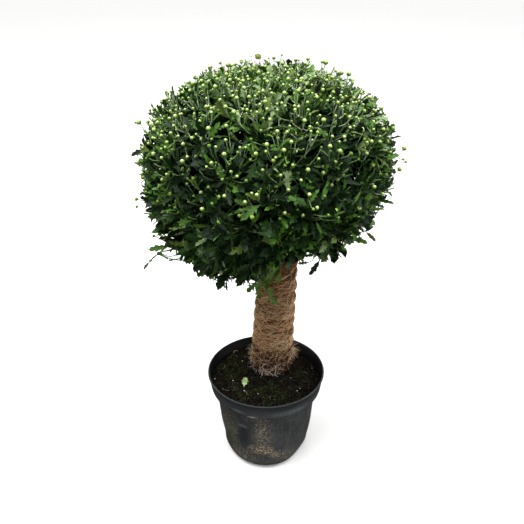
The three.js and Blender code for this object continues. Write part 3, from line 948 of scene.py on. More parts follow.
def drooping(rng, turn, height, length, stand):
    """Fibres that leave the wrap and bend down, no lower than the compost."""
    count = len(turn)
    root = wrap_points(turn, height, -0.5 * MM)
    out, around = ways_at(turn)
    size = rng.uniform(*length, count)[:, None]
    lean = stand * out + rng.normal(0, 0.6, (count, 1)) * around
    lean = unit(lean + rng.normal(-0.35, 0.5, (count, 1)) * [0, 0, 1])
    end = root + lean * size
    bend = root + 0.4 * size * unit(stand * out + rng.normal(0, 0.5, (count, 3)))
    paths = bezier(root, bend, end + rng.normal(0, 0.15, (count, 3)) * size, end, 6)
    floor = soil_height(paths[..., 0], paths[..., 1]) + 0.4 * MM
    paths[..., 2] = np.maximum(paths[..., 2], floor)
    return paths


# Crown: the same masses, boughs and main shoots as the solids have -------------------------


def reach(direction):
    """How far the crown reaches from its centre in a direction."""
    azimuth = math.atan2(direction.y, direction.x)
    level = math.hypot(direction.x, direction.y)
    drop = CROWN_DROP + LOW_SIDE_DROP * math.cos(azimuth - LOW_SIDE)
    rise = CROWN_RISE if direction.z > 0 else drop
    power = SHOULDER_POWER if direction.z > 0 else UNDERSIDE_POWER
    across = (level / CROWN_RADIUS) ** power
    upward = (abs(direction.z) / rise) ** power
    swell = 0.014 * math.sin(3 * azimuth + 4 * direction.z)
    swell += 0.012 * math.cos(5 * azimuth - 3 * direction.z)
    return (across + upward) ** (-1 / power) * (1 + swell * level)


def even_direction(index, count):
    """One of count directions spread evenly all round."""
    height = 1 - 2 * (index + 0.5) / count
    level = math.sqrt(1 - height * height)
    azimuth = index * GOLDEN_ANGLE
    return Vector((level * math.cos(azimuth), level * math.sin(azimuth), height))


def seeded(seed):
    """Numbers from 0 to 1 that are the same on every run."""
    state = (seed + 1) * 2654435761 & 0xFFFFFFFF

    def draw():
        nonlocal state
        state ^= state << 13 & 0xFFFFFFFF
        state ^= state >> 17
        state ^= state << 5 & 0xFFFFFFFF
        return state / 2**32

    return draw


class Mass:
    """One mass of the crown: the way out to it, where its bough starts and the walls round it."""

    def __init__(self, name, outward):
        self.name = name
        self.outward = outward
        self.footing = Vector()
        self.walls = []

    def bough(self):
        """The four control points of the bough that carries this mass."""
        start = TRUNK_TIP + self.footing
        end = HUB + (HUB_RADIUS - BOUGH_STOP) * self.outward
        span = (end - start).length
        return start, start + 0.35 * span * UP, end - 0.4 * span * self.outward, end

    def stem_end(self):
        return self.bough()[3] + STEM_DEPTH * self.outward

    def stem(self):
        """The straight way on from the bough's end into the mass."""
        start, end = self.bough()[3], self.stem_end()
        return (start, start.lerp(end, 1 / 3), start.lerp(end, 2 / 3), end)


def masses_of_foliage():
    masses = []
    for name, count, elevation in (("top", 1, 90), ("upper", 5, 40), ("lower", 6, -12)):
        rise = math.radians(elevation)
        for i in range(count):
            angle = (i + 0.25 * count) * FULL_TURN / count
            level = math.cos(rise)
            outward = Vector((level * math.cos(angle), level * math.sin(angle), math.sin(rise)))
            masses.append(Mass(f"{name}_{i + 1}" if count > 1 else name, outward))
    around = sorted(masses[1:], key=lambda mass: math.atan2(mass.outward.y, mass.outward.x))
    first = math.atan2(around[0].outward.y, around[0].outward.x)
    for i, mass in enumerate(around):
        angle = i / len(around) * FULL_TURN + first
        mass.footing = BOUGH_CIRCLE * Vector((math.cos(angle), math.sin(angle), 0))
    for mass in masses:
        others = [other for other in masses if other is not mass]
        mass.walls = [(other.outward - mass.outward).normalized() for other in others]
    return masses


def clear(points, mass, margin):
    """Whether points stay inside a mass's space, off the hub and off the trunk."""
    for point in points:
        if any(wall.dot(point - HUB) > -margin for wall in mass.walls):
            return False
        if (point - HUB).length < HUB_RADIUS + margin:
            return False
        axis = trunk_axis(min(point.z, TRUNK_TIP.z))
        if (point - axis).length <= trunk_radius(axis.z) + TRUNK_CLEARANCE + margin:
            return False
    return True


def main_shoots(masses):
    """The main shoots: mass, direction, heading and the four control points of each."""
    shoots = []
    for index in range(SHOOTS):
        direction = even_direction(index, SHOOTS)
        share = SHORTEST_REACH + (LONGEST_REACH - SHORTEST_REACH) * seeded(SEED + index)()
        tip = CROWN_CENTRE + share * reach(direction) * direction
        mass = max(masses, key=lambda m: (tip - HUB).dot(m.outward))
        for wall in mass.walls:
            past = wall.dot(tip - HUB) + TIP_MARGIN
            if past > 0:
                tip = tip - past * wall
        root = HUB.lerp(tip, SHOOT_START)
        lift = BUD_LIFT if direction.z > BUD_LINE else LOW_DROOP
        heading = (direction + lift * UP).normalized()
        middle = root.lerp(tip, 0.5)
        raised = tip - 0.5 * (tip - root).length * heading
        for bend in (1, 0.5, 0):
            knee = middle.lerp(raised, bend)
            steps = (0, 0.2, 0.4, 0.6, 0.8, 1)
            way = [root.lerp(knee, t).lerp(knee.lerp(tip, t), t) for t in steps]
            if clear(way, mass, SHOOT_ROOT_RADIUS + 1 * MM):
                path = (root, root.lerp(knee, 2 / 3), tip.lerp(knee, 2 / 3), tip)
                shoots.append((mass, direction, heading, path))
                break
    return shoots


# Crown: limbs -----------------------------------------------------------------------------


def control_arrays(paths):
    """Lists of four control points as four arrays."""
    return tuple(np.array([[*path[i]] for path in paths]) for i in range(4))


def main_curves(shoots):
    """The control points of the main shoots as four arrays."""
    return control_arrays([path for _, _, _, path in shoots])


def make_limbs(masses, shoots):
    """Boughs, their stems into the crown, their forks to every main shoot, and those shoots."""
    boughs = [mass.bough() for mass in masses]
    stems = [mass.stem() for mass in masses]
    forks = []
    for mass, _, _, path in shoots:
        start = mass.stem_end() - 0.35 * STEM_DEPTH * mass.outward
        span = (path[0] - start).length
        lean = (path[1] - path[0]).normalized()
        knees = (start + 0.4 * span * mass.outward, path[0] - 0.35 * span * lean)
        forks.append((start, *knees, path[0]))
    thick = np.full(len(masses), BOUGH_ROOT_RADIUS)
    thin = np.full(len(masses), BOUGH_TIP_RADIUS)
    batches = [
        tubes(bezier(*control_arrays(boughs), 14), thick, thin, 10),
        tubes(bezier(*control_arrays(stems), 4), thin, 0.67 * thin, 10),
    ]
    bark = stalk_finish("young_bark", (0.055, 0.06, 0.028))
    piece = joined("boughs", batches, bark)
    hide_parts(*[f"bough_{mass.name}" for mass in masses])
    thick = np.full(len(shoots), FORK_RADIUS)
    batches = [
        tubes(bezier(*control_arrays(forks), 9), thick, 0.85 * thick, 6),
        tubes(bezier(*main_curves(shoots), 9), 0.85 * thick, 0.5 * thick, 6),
    ]
    joined("main_shoots", batches, stalk_finish("shoot_green", (0.13, 0.16, 0.07)))


class Shoots:
    """Many side shoots as arrays: height of each in the crown from -1 to 1, the way out of the
    crown there, and the four control points of its curve."""

    def __init__(self, heights, directions, curves):
        self.heights = heights
        self.directions = directions
        self.curves = curves

    def chosen(self, which):
        curves = tuple(c[which] for c in self.curves)
        return Shoots(self.heights[which], self.directions[which], curves)

    def at(self, share):
        return curve_point(*self.curves, share[:, None])

    def lean(self, share):
        return curve_lean(*self.curves, share[:, None])


def bare(direction):
    """How much shorter the crown is in a few loose or bare places, as a share of its reach."""
    shorter = 0.0
    for place, width, depth in BARE_PLACES:
        shorter += depth * math.exp(-(((direction - place).length / width) ** 2))
    return shorter


# Loose and bare places low in the crown: direction, width and depth.
BARE_PLACES = [
    (Vector((0.2, -0.76, -0.62)), 0.21, 0.36),
    (Vector((0.24, -0.6, -0.77)), 0.2, 0.3),
    (Vector((0.27, -0.4, -0.88)), 0.2, 0.34),
    (Vector((0.93, -0.1, -0.35)), 0.36, 0.11),
    (Vector((0.85, 0.4, -0.35)), 0.3, 0.09),
    (Vector((-0.85, -0.2, -0.48)), 0.22, 0.1),
    (Vector((-0.9, 0.25, -0.4)), 0.25, 0.08),
]


def clump(direction):
    """How full the crown's surface is in a direction, from about -1 in a hollow to 1 on a clump."""
    x, y, z = direction
    first = math.sin(15 * x + 6 * z + 0.5) * math.sin(13 * y - 8 * z + 1.0)
    second = math.sin(19 * z + 9 * x + 2.0) * math.sin(17 * x - 8 * y + 0.3)
    return 0.75 * (first + second)


def ragged(direction):
    """How far short of the outline the leaves stop, from spray to spray and in the hollows."""
    x, y, z = direction
    fine = math.sin(37 * x + 21 * z) * math.sin(33 * y - 26 * z)
    fine += math.sin(61 * z + 30 * x) * math.sin(52 * x - 40 * y)
    return RAGGED_DEPTH * (0.5 + 0.5 * fine) + HOLLOW_DEPTH * max(0.0, -clump(direction))


def fine_tips(rng):
    """Where each fine shoot ends and its way out of the crown, with the stray ones last."""
    ends = []
    for index in range(FINE_SHOOTS):
        direction = even_direction(index, FINE_SHOOTS)
        fullness = clump(direction)
        if fullness < HOLLOW and direction.z < 0.75 and rng.uniform() < 0.75:
            continue
        share = FINE_REACH + 0.05 * fullness + rng.uniform(-0.035, 0.035)
        share += 0.045 if rng.uniform() < 0.05 else 0.0
        if direction.z < BARE_ABOVE:
            share -= rng.uniform(0.0, 0.17)
        share -= bare(direction)
        tip = CROWN_CENTRE + min(share, FURTHEST) * reach(direction) * direction
        axis = trunk_axis(min(tip.z, TRUNK_TIP.z))
        low = tip.z < TRUNK_TIP.z + 20 * MM
        if not low or (tip - axis).length >= trunk_radius(axis.z) + 12 * MM:
            ends.append((tip, direction))
    for place in STRAY_TIPS:
        tip = MM * Vector(place)
        ends.append((tip, (tip - CROWN_CENTRE).normalized()))
    return tuple(np.array([[*row[i]] for row in ends]) for i in (0, 1))


def fine_shoots(rng, shoots):
    """Side shoots that fill the crown evenly, each from the nearest main shoot."""
    tips, directions = fine_tips(rng)
    mains = main_curves(shoots)
    near = [int(np.argmin(np.linalg.norm(mains[3] - tip, axis=1))) for tip in tips]
    own = Shoots(directions[:, 2], directions, tuple(m[near] for m in mains))
    start = rng.uniform(0.1, 0.6, len(tips))
    root, lean = own.at(start), own.lean(start)
    lift = np.interp(own.heights, *SHOOT_LIFT)
    heading = unit(directions + lift[:, None] * [0, 0, 1] + rng.normal(0, 0.13, tips.shape))
    span = np.linalg.norm(tips - root, axis=1, keepdims=True)
    curves = (root, root + 0.3 * span * lean, tips - 0.45 * span * heading, tips)
    return Shoots(own.heights, directions, curves)


# How much fine shoots turn up at their tips: heights in the crown, and the lift at each.
SHOOT_LIFT = ([-0.8, -0.5, -0.2, 0.2, 0.6, 1.0], [-0.5, -0.15, 0.45, 1.3, 1.6, 1.0])

# Buds that stand above the rest, in millimetres. The flower is on the first.
STRAY_TIPS = [
    (-16, 30, 889),
    (104, 10, 885),
    (149, 30, 860),
    (258, 0, 729),
    (247, -30, 699),
    (-239, 20, 773),
    (-70, 30, 876),
]


def make_fine_twigs(fine):
    """The side shoots: leafy and green low down, silvery towards the buds on top."""
    paths = bezier(*fine.curves, 9)
    thick = np.full(len(paths), TWIG_RADIUS)
    top = fine.heights >= PALE_ABOVE
    high = (fine.heights > -0.35) & ~top
    low = ~high & ~top
    green = stalk_finish("twig_green", (0.1, 0.135, 0.055))
    tube_piece("twigs_low", paths[low], thick[low], 0.55, 4, green)
    stalks = bezier(*control_arrays(MM * np.array(NAMED_STALKS)), 10)
    own = [leaf_stalk(MM * Vector(start), MM * Vector(tip)) for start, tip, _, _ in NAMED_LEAVES]
    own = bezier(*control_arrays(own), 9)
    slender = np.full(len(stalks), LEAF_STALK_RADIUS)
    thin = np.full(len(own), LEAF_STALK_RADIUS)
    batches = [
        tubes(paths[high], thick[high], 0.62 * thick[high], 5),
        tubes(stalks, slender, 0.6 * slender, 5),
        tubes(own, thin, 0.7 * thin, 4),
    ]
    joined("twigs_high", batches, stalk_finish("twig_silver", (0.13, 0.22, 0.07)))
    pale = stalk_finish("twig_pale", (0.36, 0.48, 0.26))
    tube_piece("twigs_top", paths[top], thick[top], 0.62, 5, pale)


def leaf_stalk(start, tip):
    """The twig that carries a single leaf: out of the crown, and on in the leaf's own direction."""
    inward = (CROWN_CENTRE - start).normalized()
    root = start + LEAF_STALK_LENGTH * inward
    back = 0.35 * LEAF_STALK_LENGTH * (start - tip).normalized()
    return (root, root - 0.3 * LEAF_STALK_LENGTH * inward, start + back, start.lerp(tip, 0.24))


# Crown: leaves ----------------------------------------------------------------------------


def leaf_template(rows, fold, curl=0.0):
    """A leaf one unit long: two strips either side of its midrib. Each row has its share of the
    length, half its width, and how far its edge points run ahead of the midrib."""
    bm = bmesh.new()
    bmesh.ops.create_grid(bm, x_segments=2, y_segments=len(rows) - 1, size=0.5)
    for vertex in bm.verts:
        share, half, ahead = rows[round((vertex.co.y + 0.5) * (len(rows) - 1))]
        across = vertex.co.x * 2 * half
        edge = 1.0 if across else 0.0
        rise = fold * abs(across) + curl * edge * half * math.sin(11 * share)
        vertex.co = (across, share + ahead * edge, rise)
    bmesh.ops.remove_doubles(bm, verts=bm.verts, dist=1e-4)
    return arrays_of(bm)


# Rows of each kind of leaf, from its stalk to its tip.
LOBED_LEAF = [
    (0.0, 0.016, 0.0),
    (0.17, 0.02, 0.0),
    (0.26, 0.1, 0.07),
    (0.36, 0.27, 0.13),
    (0.46, 0.09, 0.0),
    (0.56, 0.31, 0.16),
    (0.68, 0.11, 0.0),
    (0.78, 0.17, 0.1),
    (1.0, 0.0, 0.0),
]
TOOTHED_LEAF = [
    (0.0, 0.016, 0.0),
    (0.2, 0.04, 0.0),
    (0.34, 0.17, 0.08),
    (0.46, 0.11, 0.0),
    (0.57, 0.22, 0.1),
    (0.7, 0.12, 0.0),
    (0.8, 0.13, 0.08),
    (1.0, 0.0, 0.0),
]
SLIM_LEAF = [
    (0.0, 0.015, 0.0),
    (0.28, 0.07, 0.0),
    (0.52, 0.12, 0.05),
    (0.66, 0.075, 0.0),
    (0.8, 0.06, 0.05),
    (1.0, 0.0, 0.0),
]


class Leaves:
    """Many leaves as arrays: where each starts, its side, along and face ways, length, the
    height of its shoot in the crown, and its place on that shoot."""

    def __init__(self, *parts):
        self.parts = parts
        self.origin, self.side, self.along, self.face, self.size, self.heights, self.share = parts

    def chosen(self, which):
        return Leaves(*[part[which] for part in self.parts])

    def copies(self, rng, template, widths, droop):
        """Copies of a template for these leaves, each with its own width and droop."""
        count = len(self.size)
        size = self.size[:, None]
        width = rng.uniform(*widths, count)[:, None] * size
        bends = -droop * rng.uniform(0.2, 1.6, count) + rng.normal(0, 0.06, count)
        ways = (self.side * width, self.along * size, self.face * size)
        return strewn(template, self.origin, *ways, bends)


def together(*groups):
    """Several lots of leaves as one."""
    return Leaves(*[np.concatenate(parts) for parts in zip(*[group.parts for group in groups])])


def leaves_along(rng, shoots, places, length, spread, lift):
    """Leaves set round shoots by the golden angle, at places given as shares of each shoot.
    They open less towards its tip, and their faces turn a little to the light."""
    count = len(shoots.heights)
    start = rng.uniform(0, FULL_TURN, count)
    made = []
    for i, place in enumerate(places):
        share = np.clip(place + rng.normal(0, 0.035, count), 0.02, 0.99)
        tangent = shoots.lean(share)
        spare = np.where(np.abs(tangent[:, 2:3]) > 0.85, [[1.0, 0.0, 0.0]], [[0.0, 0.0, 1.0]])
        across = unit(np.cross(tangent, spare))
        turn = (start + i * GOLDEN_ANGLE + rng.normal(0, 0.3, count))[:, None]
        out = np.cos(turn) * across + np.sin(turn) * np.cross(across, tangent)
        opening = spread(place) * rng.uniform(0.6, 1.5, (count, 1))
        along = unit(opening * out + tangent + rng.normal(0, 0.16, (count, 3)))
        face = square_to(along, tangent)
        face = unit(face + lift * np.array([0, 0, 1.0]) + rng.normal(0, 0.3, (count, 3)))
        face = square_to(along, face)
        size = length(shoots.heights, share) * rng.uniform(0.68, 1.3, count)
        ways = (np.cross(along, face), along, face)
        made.append(Leaves(shoots.at(share), *ways, size, shoots.heights, share))
    return together(*made)


def keep_inside(leaves, limit):
    """Shortens leaves whose tips would pass the crown's outline, and leaves out those that would
    pass it even so or lie against the trunk."""
    kept = np.ones(len(leaves.size), bool)
    for i in range(len(leaves.size)):
        origin, along = Vector(leaves.origin[i]), Vector(leaves.along[i])
        for _ in range(5):
            offset = origin + float(leaves.size[i]) * along - CROWN_CENTRE
            outward = offset.normalized()
            if offset.length < (limit - bare(outward) - ragged(outward)) * reach(outward):
                break
            leaves.size[i] *= 0.84
        else:
            kept[i] = False
        middle = origin + 0.6 * float(leaves.size[i]) * along
        if middle.z < TRUNK_TIP.z + 10 * MM:
            axis = trunk_axis(min(middle.z, TRUNK_TIP.z))
            kept[i] &= (middle - axis).length > trunk_radius(axis.z) + 3 * MM
    return leaves.chosen(kept)


def outer_length(height, share):
    """How long the leaves of the fine shoots are: shorter high up and towards each tip."""
    grown = np.interp(height, [-0.7, -0.2, 0.2, 0.8], [54, 49, 42, 35]) * MM
    return grown * np.interp(share, [0.2, 0.6, 1.0], [1.25, 1.0, 0.6])


def inner_length(height, share):
    return np.interp(height, [-0.7, 0.8], [66, 60]) * MM * (1 - 0.15 * share)


def opening_to(*angles):
    """How far leaves open from their shoot, for a place near its root, halfway and at its tip."""
    return lambda place: np.interp(place, [0.3, 0.6, 0.95], angles)


def grown_leaves(rng, masses, shoots, fine):
    """The leaves at the crown's surface, and the shaded ones inside it."""
    mains = Shoots(
        np.array([direction.z for _, direction, _, _ in shoots]),
        np.array([[*direction] for _, direction, _, _ in shoots]),
        main_curves(shoots),
    )
    ways = np.array([[*mass.outward] for mass in masses])
    low = np.full(len(masses), BOUGH_HEIGHT)
    boughs = Shoots(low, ways, control_arrays([mass.bough() for mass in masses]))
    stems = Shoots(low, ways, control_arrays([mass.stem() for mass in masses]))
    high = fine.heights > BARE_ABOVE
    kinds = [
        (fine.chosen(high), UPPER_PLACES, outer_length, opening_to(0.95, 0.65, 0.4), 0.2, FURTHEST),
        (fine.chosen(~high), LOWER_PLACES, outer_length, opening_to(1.2, 0.8, 0.5), 0.3, FURTHEST),
        (mains, INNER_PLACES, inner_length, opening_to(1.1, 1.1, 1.1), 0.4, INNER_REACH),
        (stems, CORE_PLACES, inner_length, opening_to(1.6, 1.6, 1.6), 0.1, None),
        (boughs, BOUGH_PLACES, outer_length, opening_to(1.6, 1.6, 1.6), 0.1, LOWER_REACH),
    ]
    made = []
    for own, places, length, spread, lift, limit in kinds:
        leaves = leaves_along(rng, own, places, length, spread, lift)
        made.append(keep_inside(leaves, limit) if limit else leaves)
    upper, lower, inner, core, hanging = made
    return together(upper, lower, hanging), together(inner, core)


def make_leaves(rng, masses, shoots, fine):
    """Every leaf, dealt out by spray to a few plain greens and three outlines."""
    outer, inner = grown_leaves(rng, masses, shoots, fine)
    shapes = [
        leaf_template(LOBED_LEAF, 0.25, 0.25),
        leaf_template(TOOTHED_LEAF, 0.35, 0.2),
        leaf_template(SLIM_LEAF, 0.4),
    ]
    x, y, z = outer.origin.T
    spray = np.sin(31 * x + 19 * z) + np.sin(27 * y - 23 * z)
    luck = rng.uniform(0, 1, len(spray)) + 0.1 * spray
    # Leaves near a shoot's root take darker greens and leaves high in the crown paler ones: partly
    # younger growth, partly painted shade inside the crown and painted light on its top.
    youth_and_light = np.interp(outer.share, [0.3, 0.6, 0.9], [-0.5, -0.02, 0.26])
    youth_and_light = youth_and_light + np.interp(outer.heights, *YOUTH_AND_LIGHT_BY_HEIGHT)
    tone = np.digitize(0.75 * luck + youth_and_light, TONE_STEPS)
    slim = rng.uniform(0, 1, len(luck)) < np.interp(outer.heights, [-0.3, 0.6], [0.12, 0.3])
    lobed = outer.size > rng.uniform(22, 40, len(luck)) * MM
    form = np.where(slim, 2, np.where(lobed, 0, 1))
    dealt = {name: [] for name, _, _ in GREENS}
    for level, (name, _, _) in enumerate(GREENS[1:]):
        for kind, shape in enumerate(shapes):
            some = outer.chosen((tone == level) & (form == kind))
            if len(some.size):
                dealt[name].append(some.copies(rng, shape, (0.52, 0.88), 0.25))
    # Painted shade: the leaves inside the crown take the near-black leaf_shade.
    dealt["leaf_shade"].append(inner.copies(rng, shapes[0], (1.2, 1.7), 0.25))
    for start, tip, width, name in NAMED_LEAVES:
        leaf = placed_leaf(rng, shapes, MM * np.array(start), MM * np.array(tip), width)
        dealt[name].append(leaf)
    for name, tint, roughness in GREENS:
        gloss = SHADE_GLOSS if name == "leaf_shade" else LEAF_GLOSS
        piece = joined(name, dealt[name], leaf_finish(name, tint, roughness, gloss))
        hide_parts(*FOLIAGE_NODES)


def placed_leaf(rng, shapes, start, tip, width):
    """One leaf between two points, its face up and towards the front. Width is a share of its
    length, and narrow leaves take the narrower outlines."""
    along, size = unit(tip - start), float(np.linalg.norm(tip - start))
    face = unit([0.5 * math.copysign(1.0, tip[0]), -1.5, 0.8] + rng.normal(0, 0.35, 3))
    face = square_to(along, face)
    kind = 0 if width > 0.38 else 1 if width > 0.2 else 2
    side = np.cross(along, face) * width / LEAF_WIDTHS[kind]
    ways = (size * way[None] for way in (side, along, face))
    return strewn(shapes[kind], start[None], *ways, np.array([-0.12]))


# Single leaves that hang beside the stem or stand out of the crown's edge: stalk end and tip in
# millimetres, width as a share of the length, and green. The fresh and olive greens of the leaves
# in front of the stem, under the crown, are partly painted light: lighter greens where the crown
# shades them.
NAMED_LEAVES = [
    ((111, -60, 570), (115, -50, 507), 0.52, "leaf_fresh"),
    ((109, -30, 511), (86, -40, 475), 0.34, "leaf_deep"),
    ((89, -30, 501), (63, -30, 498), 0.42, "leaf_mid"),
    ((41, -150, 603), (77, -130, 572), 0.4, "leaf_fresh"),
    ((-4, -150, 579), (-30, -170, 580), 0.5, "leaf_fresh"),
    ((-9, -130, 545), (30, -120, 547), 0.5, "leaf_fresh"),
    ((29, -100, 532), (-1, -100, 497), 0.5, "leaf_fresh"),
    ((-15, -50, 471), (-39, -70, 456), 0.6, "leaf_fresh"),
    ((3, -40, 428), (23, -50, 415), 0.7, "leaf_fresh"),
    ((-17, -50, 464), (-15, -50, 424), 0.5, "leaf_olive"),
    ((10, -80, 507), (-5, -80, 466), 0.5, "leaf_fresh"),
    ((15, -130, 561), (6, -130, 525), 0.5, "leaf_olive"),
    ((-2, -120, 535), (-30, -120, 513), 0.45, "leaf_olive"),
    ((28, -170, 603), (-6, -200, 639), 0.62, "leaf_olive"),
    ((24, -170, 603), (41, -200, 644), 0.66, "leaf_olive"),
    ((25, -140, 573), (7, -150, 550), 0.62, "leaf_olive"),
    ((19, -130, 549), (-9, -140, 550), 0.42, "leaf_fresh"),
    ((27, -110, 531), (18, -110, 496), 0.55, "leaf_olive"),
    ((19, -130, 542), (-3, -140, 525), 0.5, "leaf_olive"),
    ((3, -70, 476), (13, -70, 444), 0.5, "leaf_olive"),
    ((-22, -130, 561), (-4, -140, 544), 0.5, "leaf_fresh"),
    ((-40, -140, 585), (-31, -140, 546), 0.5, "leaf_olive"),
    ((-9, -70, 492), (-21, -80, 464), 0.5, "leaf_fresh"),
    ((-32, -70, 515), (-46, -80, 487), 0.5, "leaf_olive"),
    ((215, 20, 615), (246, -10, 622), 0.24, "leaf_fresh"),
    ((237, 50, 625), (263, 70, 600), 0.28, "leaf_fresh"),
    ((181, -40, 624), (215, -50, 626), 0.3, "leaf_olive"),
    ((198, 30, 575), (236, 60, 570), 0.15, "leaf_mid"),
    ((175, -20, 574), (222, 10, 572), 0.34, "leaf_fresh"),
    ((202, 50, 528), (220, 40, 546), 0.3, "leaf_mid"),
    ((199, 10, 551), (216, -20, 544), 0.32, "leaf_olive"),
    ((153, -50, 569), (192, -70, 566), 0.36, "leaf_fresh"),
    ((130, -80, 582), (164, -70, 562), 0.4, "leaf_fresh"),
    ((167, 40, 527), (210, 80, 510), 0.12, "leaf_mid"),
    ((124, -20, 539), (167, 20, 502), 0.34, "leaf_mid"),
    ((-192, -10, 527), (-239, -10, 519), 0.34, "leaf_fresh"),
    ((-203, -10, 504), (-218, -10, 513), 0.4, "leaf_fresh"),
    ((-182, -10, 497), (-200, -10, 494), 0.4, "leaf_deep"),
    ((-193, -10, 533), (-192, -10, 554), 0.2, "leaf_deep"),
    ((-110, -30, 484), (-145, -20, 463), 0.38, "leaf_mid"),
    ((-76, -30, 481), (-102, -20, 434), 0.6, "leaf_deep"),
    ((-82, -30, 462), (-81, -30, 431), 0.25, "leaf_deep"),
    ((-236, -10, 493), (-253, -10, 472), 0.3, "leaf_mid"),
    ((-141, -20, 512), (-159, -20, 491), 0.55, "leaf_deep"),
    ((-222, 20, 722), (-262, 20, 708), 0.34, "leaf_deep"),
]

# How wide each outline is, as a share of its length.
LEAF_WIDTHS = (0.62, 0.44, 0.24)
# Single bare stalks, the same way: the points that shape each.
NAMED_STALKS = [
    ((-154, -20, 503), (-176, -10, 490), (-200, -10, 497), (-219, -10, 511)),
    ((-200, -10, 497), (-215, -10, 509), (-223, -10, 513), (-236, -10, 493)),
    ((-161, -20, 514), (-178, -10, 518), (-193, -10, 534), (-225, -10, 550)),
    ((-177, -20, 523), (-189, -10, 532), (-201, -10, 545), (-212, -10, 553)),
    ((-72, -160, 683), (-76, -170, 698), (-78, -180, 712), (-84, -190, 725)),
    ((-68, -150, 667), (-53, -160, 688), (-41, -170, 702), (-26, -180, 714)),
    ((-53, -160, 687), (-49, -170, 702), (-50, -180, 717), (-48, -190, 732)),
    ((34, -110, 561), (17, -120, 575), (2, -130, 578), (-16, -120, 564)),
    ((39, -100, 574), (28, -120, 579), (18, -130, 578), (8, -120, 564)),
    ((32, -110, 571), (25, -130, 590), (19, -150, 605), (15, -160, 618)),
    ((-82, -30, 462), (-99, -30, 452), (-110, -30, 464), (-118, -30, 469)),
    ((-21, -70, 510), (-23, -70, 499), (-19, -60, 484), (-15, -50, 471)),
    ((-9, -100, 523), (-5, -70, 483), (3, -50, 453), (3, -40, 428)),
    ((-20, -130, 557), (-24, -100, 523), (-17, -80, 494), (-17, -60, 464)),
    ((16, -140, 571), (9, -130, 553), (13, -120, 535), (2, -110, 516)),
    ((-32, -100, 540), (-26, -100, 528), (-22, -90, 513), (-17, -60, 480)),
    ((204, 30, 548), (211, 30, 559), (220, 20, 584), (234, 30, 601)),
    ((162, -40, 556), (173, -40, 574), (185, -30, 586), (203, -30, 603)),
]

# Where leaves stand on each kind of shoot, as shares of it.
UPPER_PLACES = (0.28, 0.4, 0.5, 0.59, 0.67, 0.74, 0.81)
LOWER_PLACES = (0.33, 0.45, 0.56, 0.67, 0.77, 0.87, 0.96)
BOUGH_PLACES = (0.2, 0.3, 0.4, 0.48, 0.56, 0.64, 0.72, 0.8, 0.88, 0.96)
CORE_PLACES = (0.0, 0.08, 0.16, 0.24, 0.32, 0.4, 0.48, 0.56, 0.64, 0.72, 0.8, 0.88, 0.96)
INNER_PLACES = (
    *(0.0, 0.06, 0.12, 0.18, 0.24, 0.3, 0.36, 0.42),
    *(0.48, 0.54, 0.6, 0.66, 0.71, 0.76, 0.81),
)
BOUGH_HEIGHT = -0.7

# How much paler leaves are by their height in the crown, partly younger growth and partly painted
# light up high, and the steps from each green to the next.
YOUTH_AND_LIGHT_BY_HEIGHT = ([-0.6, 0.0, 0.5, 0.7, 0.95], [-0.08, -0.05, -0.03, 0.18, 0.42])
TONE_STEPS = (0.27, 0.54, 0.76, 0.86)

# Leaf colours from the crown's inside to its youngest tips: name, tint and roughness. The
# near-black leaf_shade is painted shade on the leaves deep inside.
GREENS = [
    ("leaf_shade", (0.002, 0.006, 0.001), 0.9),
    ("leaf_deep", (0.005, 0.018, 0.003), 0.6),
    ("leaf_mid", (0.017, 0.052, 0.007), 0.5),
    ("leaf_fresh", (0.062, 0.152, 0.018), 0.48),
    ("leaf_olive", (0.1, 0.15, 0.03), 0.6),
    ("leaf_silver", (0.21, 0.3, 0.135), 0.6),
]


# Crown: buds ------------------------------------------------------------------------------


def bud_head():
    """A flattened bud one unit in radius."""
    bm = bmesh.new()
    bmesh.ops.create_uvsphere(bm, u_segments=7, v_segments=5, radius=1)
    for vertex in bm.verts:
        vertex.co.z *= 0.78
    return arrays_of(bm)


def bud_cap():
    """The pale tips of the petals on top of a bud, in a low dome of points; their paleness is
    partly a painted highlight.
    """
    bm = bmesh.new()
    bmesh.ops.create_cone(bm, cap_ends=False, segments=8, radius1=0.52, radius2=0.24, depth=1)
    for vertex in bm.verts:
        low = vertex.co.z < 0
        turn = math.atan2(vertex.co.y, vertex.co.x)
        swell = 1 + (0.14 * math.cos(4 * turn) if low else 0.0)
        vertex.co = (vertex.co.x * swell, vertex.co.y * swell, 0.68 if low else 0.84)
    crown = [e for e in bm.edges if e.is_boundary and e.verts[0].co.z > 0.7]
    bmesh.ops.holes_fill(bm, edges=crown, sides=0)
    return arrays_of(bm)


def bud_cup():
    """The green cup of bracts under a bud, open above, with its points standing round it."""
    bm = bmesh.new()
    bmesh.ops.create_cone(bm, cap_ends=False, segments=8, radius1=0.22, radius2=1.05, depth=1)
    upright = [e for e in bm.edges if abs(e.verts[0].co.z - e.verts[1].co.z) > 0.5]
    middle = bmesh.ops.subdivide_edges(bm, edges=upright, cuts=1)["geom_inner"]
    for vertex in bm.verts:
        turn = math.atan2(vertex.co.y, vertex.co.x)
        if vertex.co.z > 0.4:
            vertex.co.z = 0.12 + 0.22 * math.cos(4 * turn)
        elif vertex.co.z < -0.4:
            vertex.co.z = -1.05
    for vertex in (g for g in middle if isinstance(g, bmesh.types.BMVert)):
        vertex.co = (1.45 * vertex.co.x, 1.45 * vertex.co.y, -0.52)
    return arrays_of(bm)


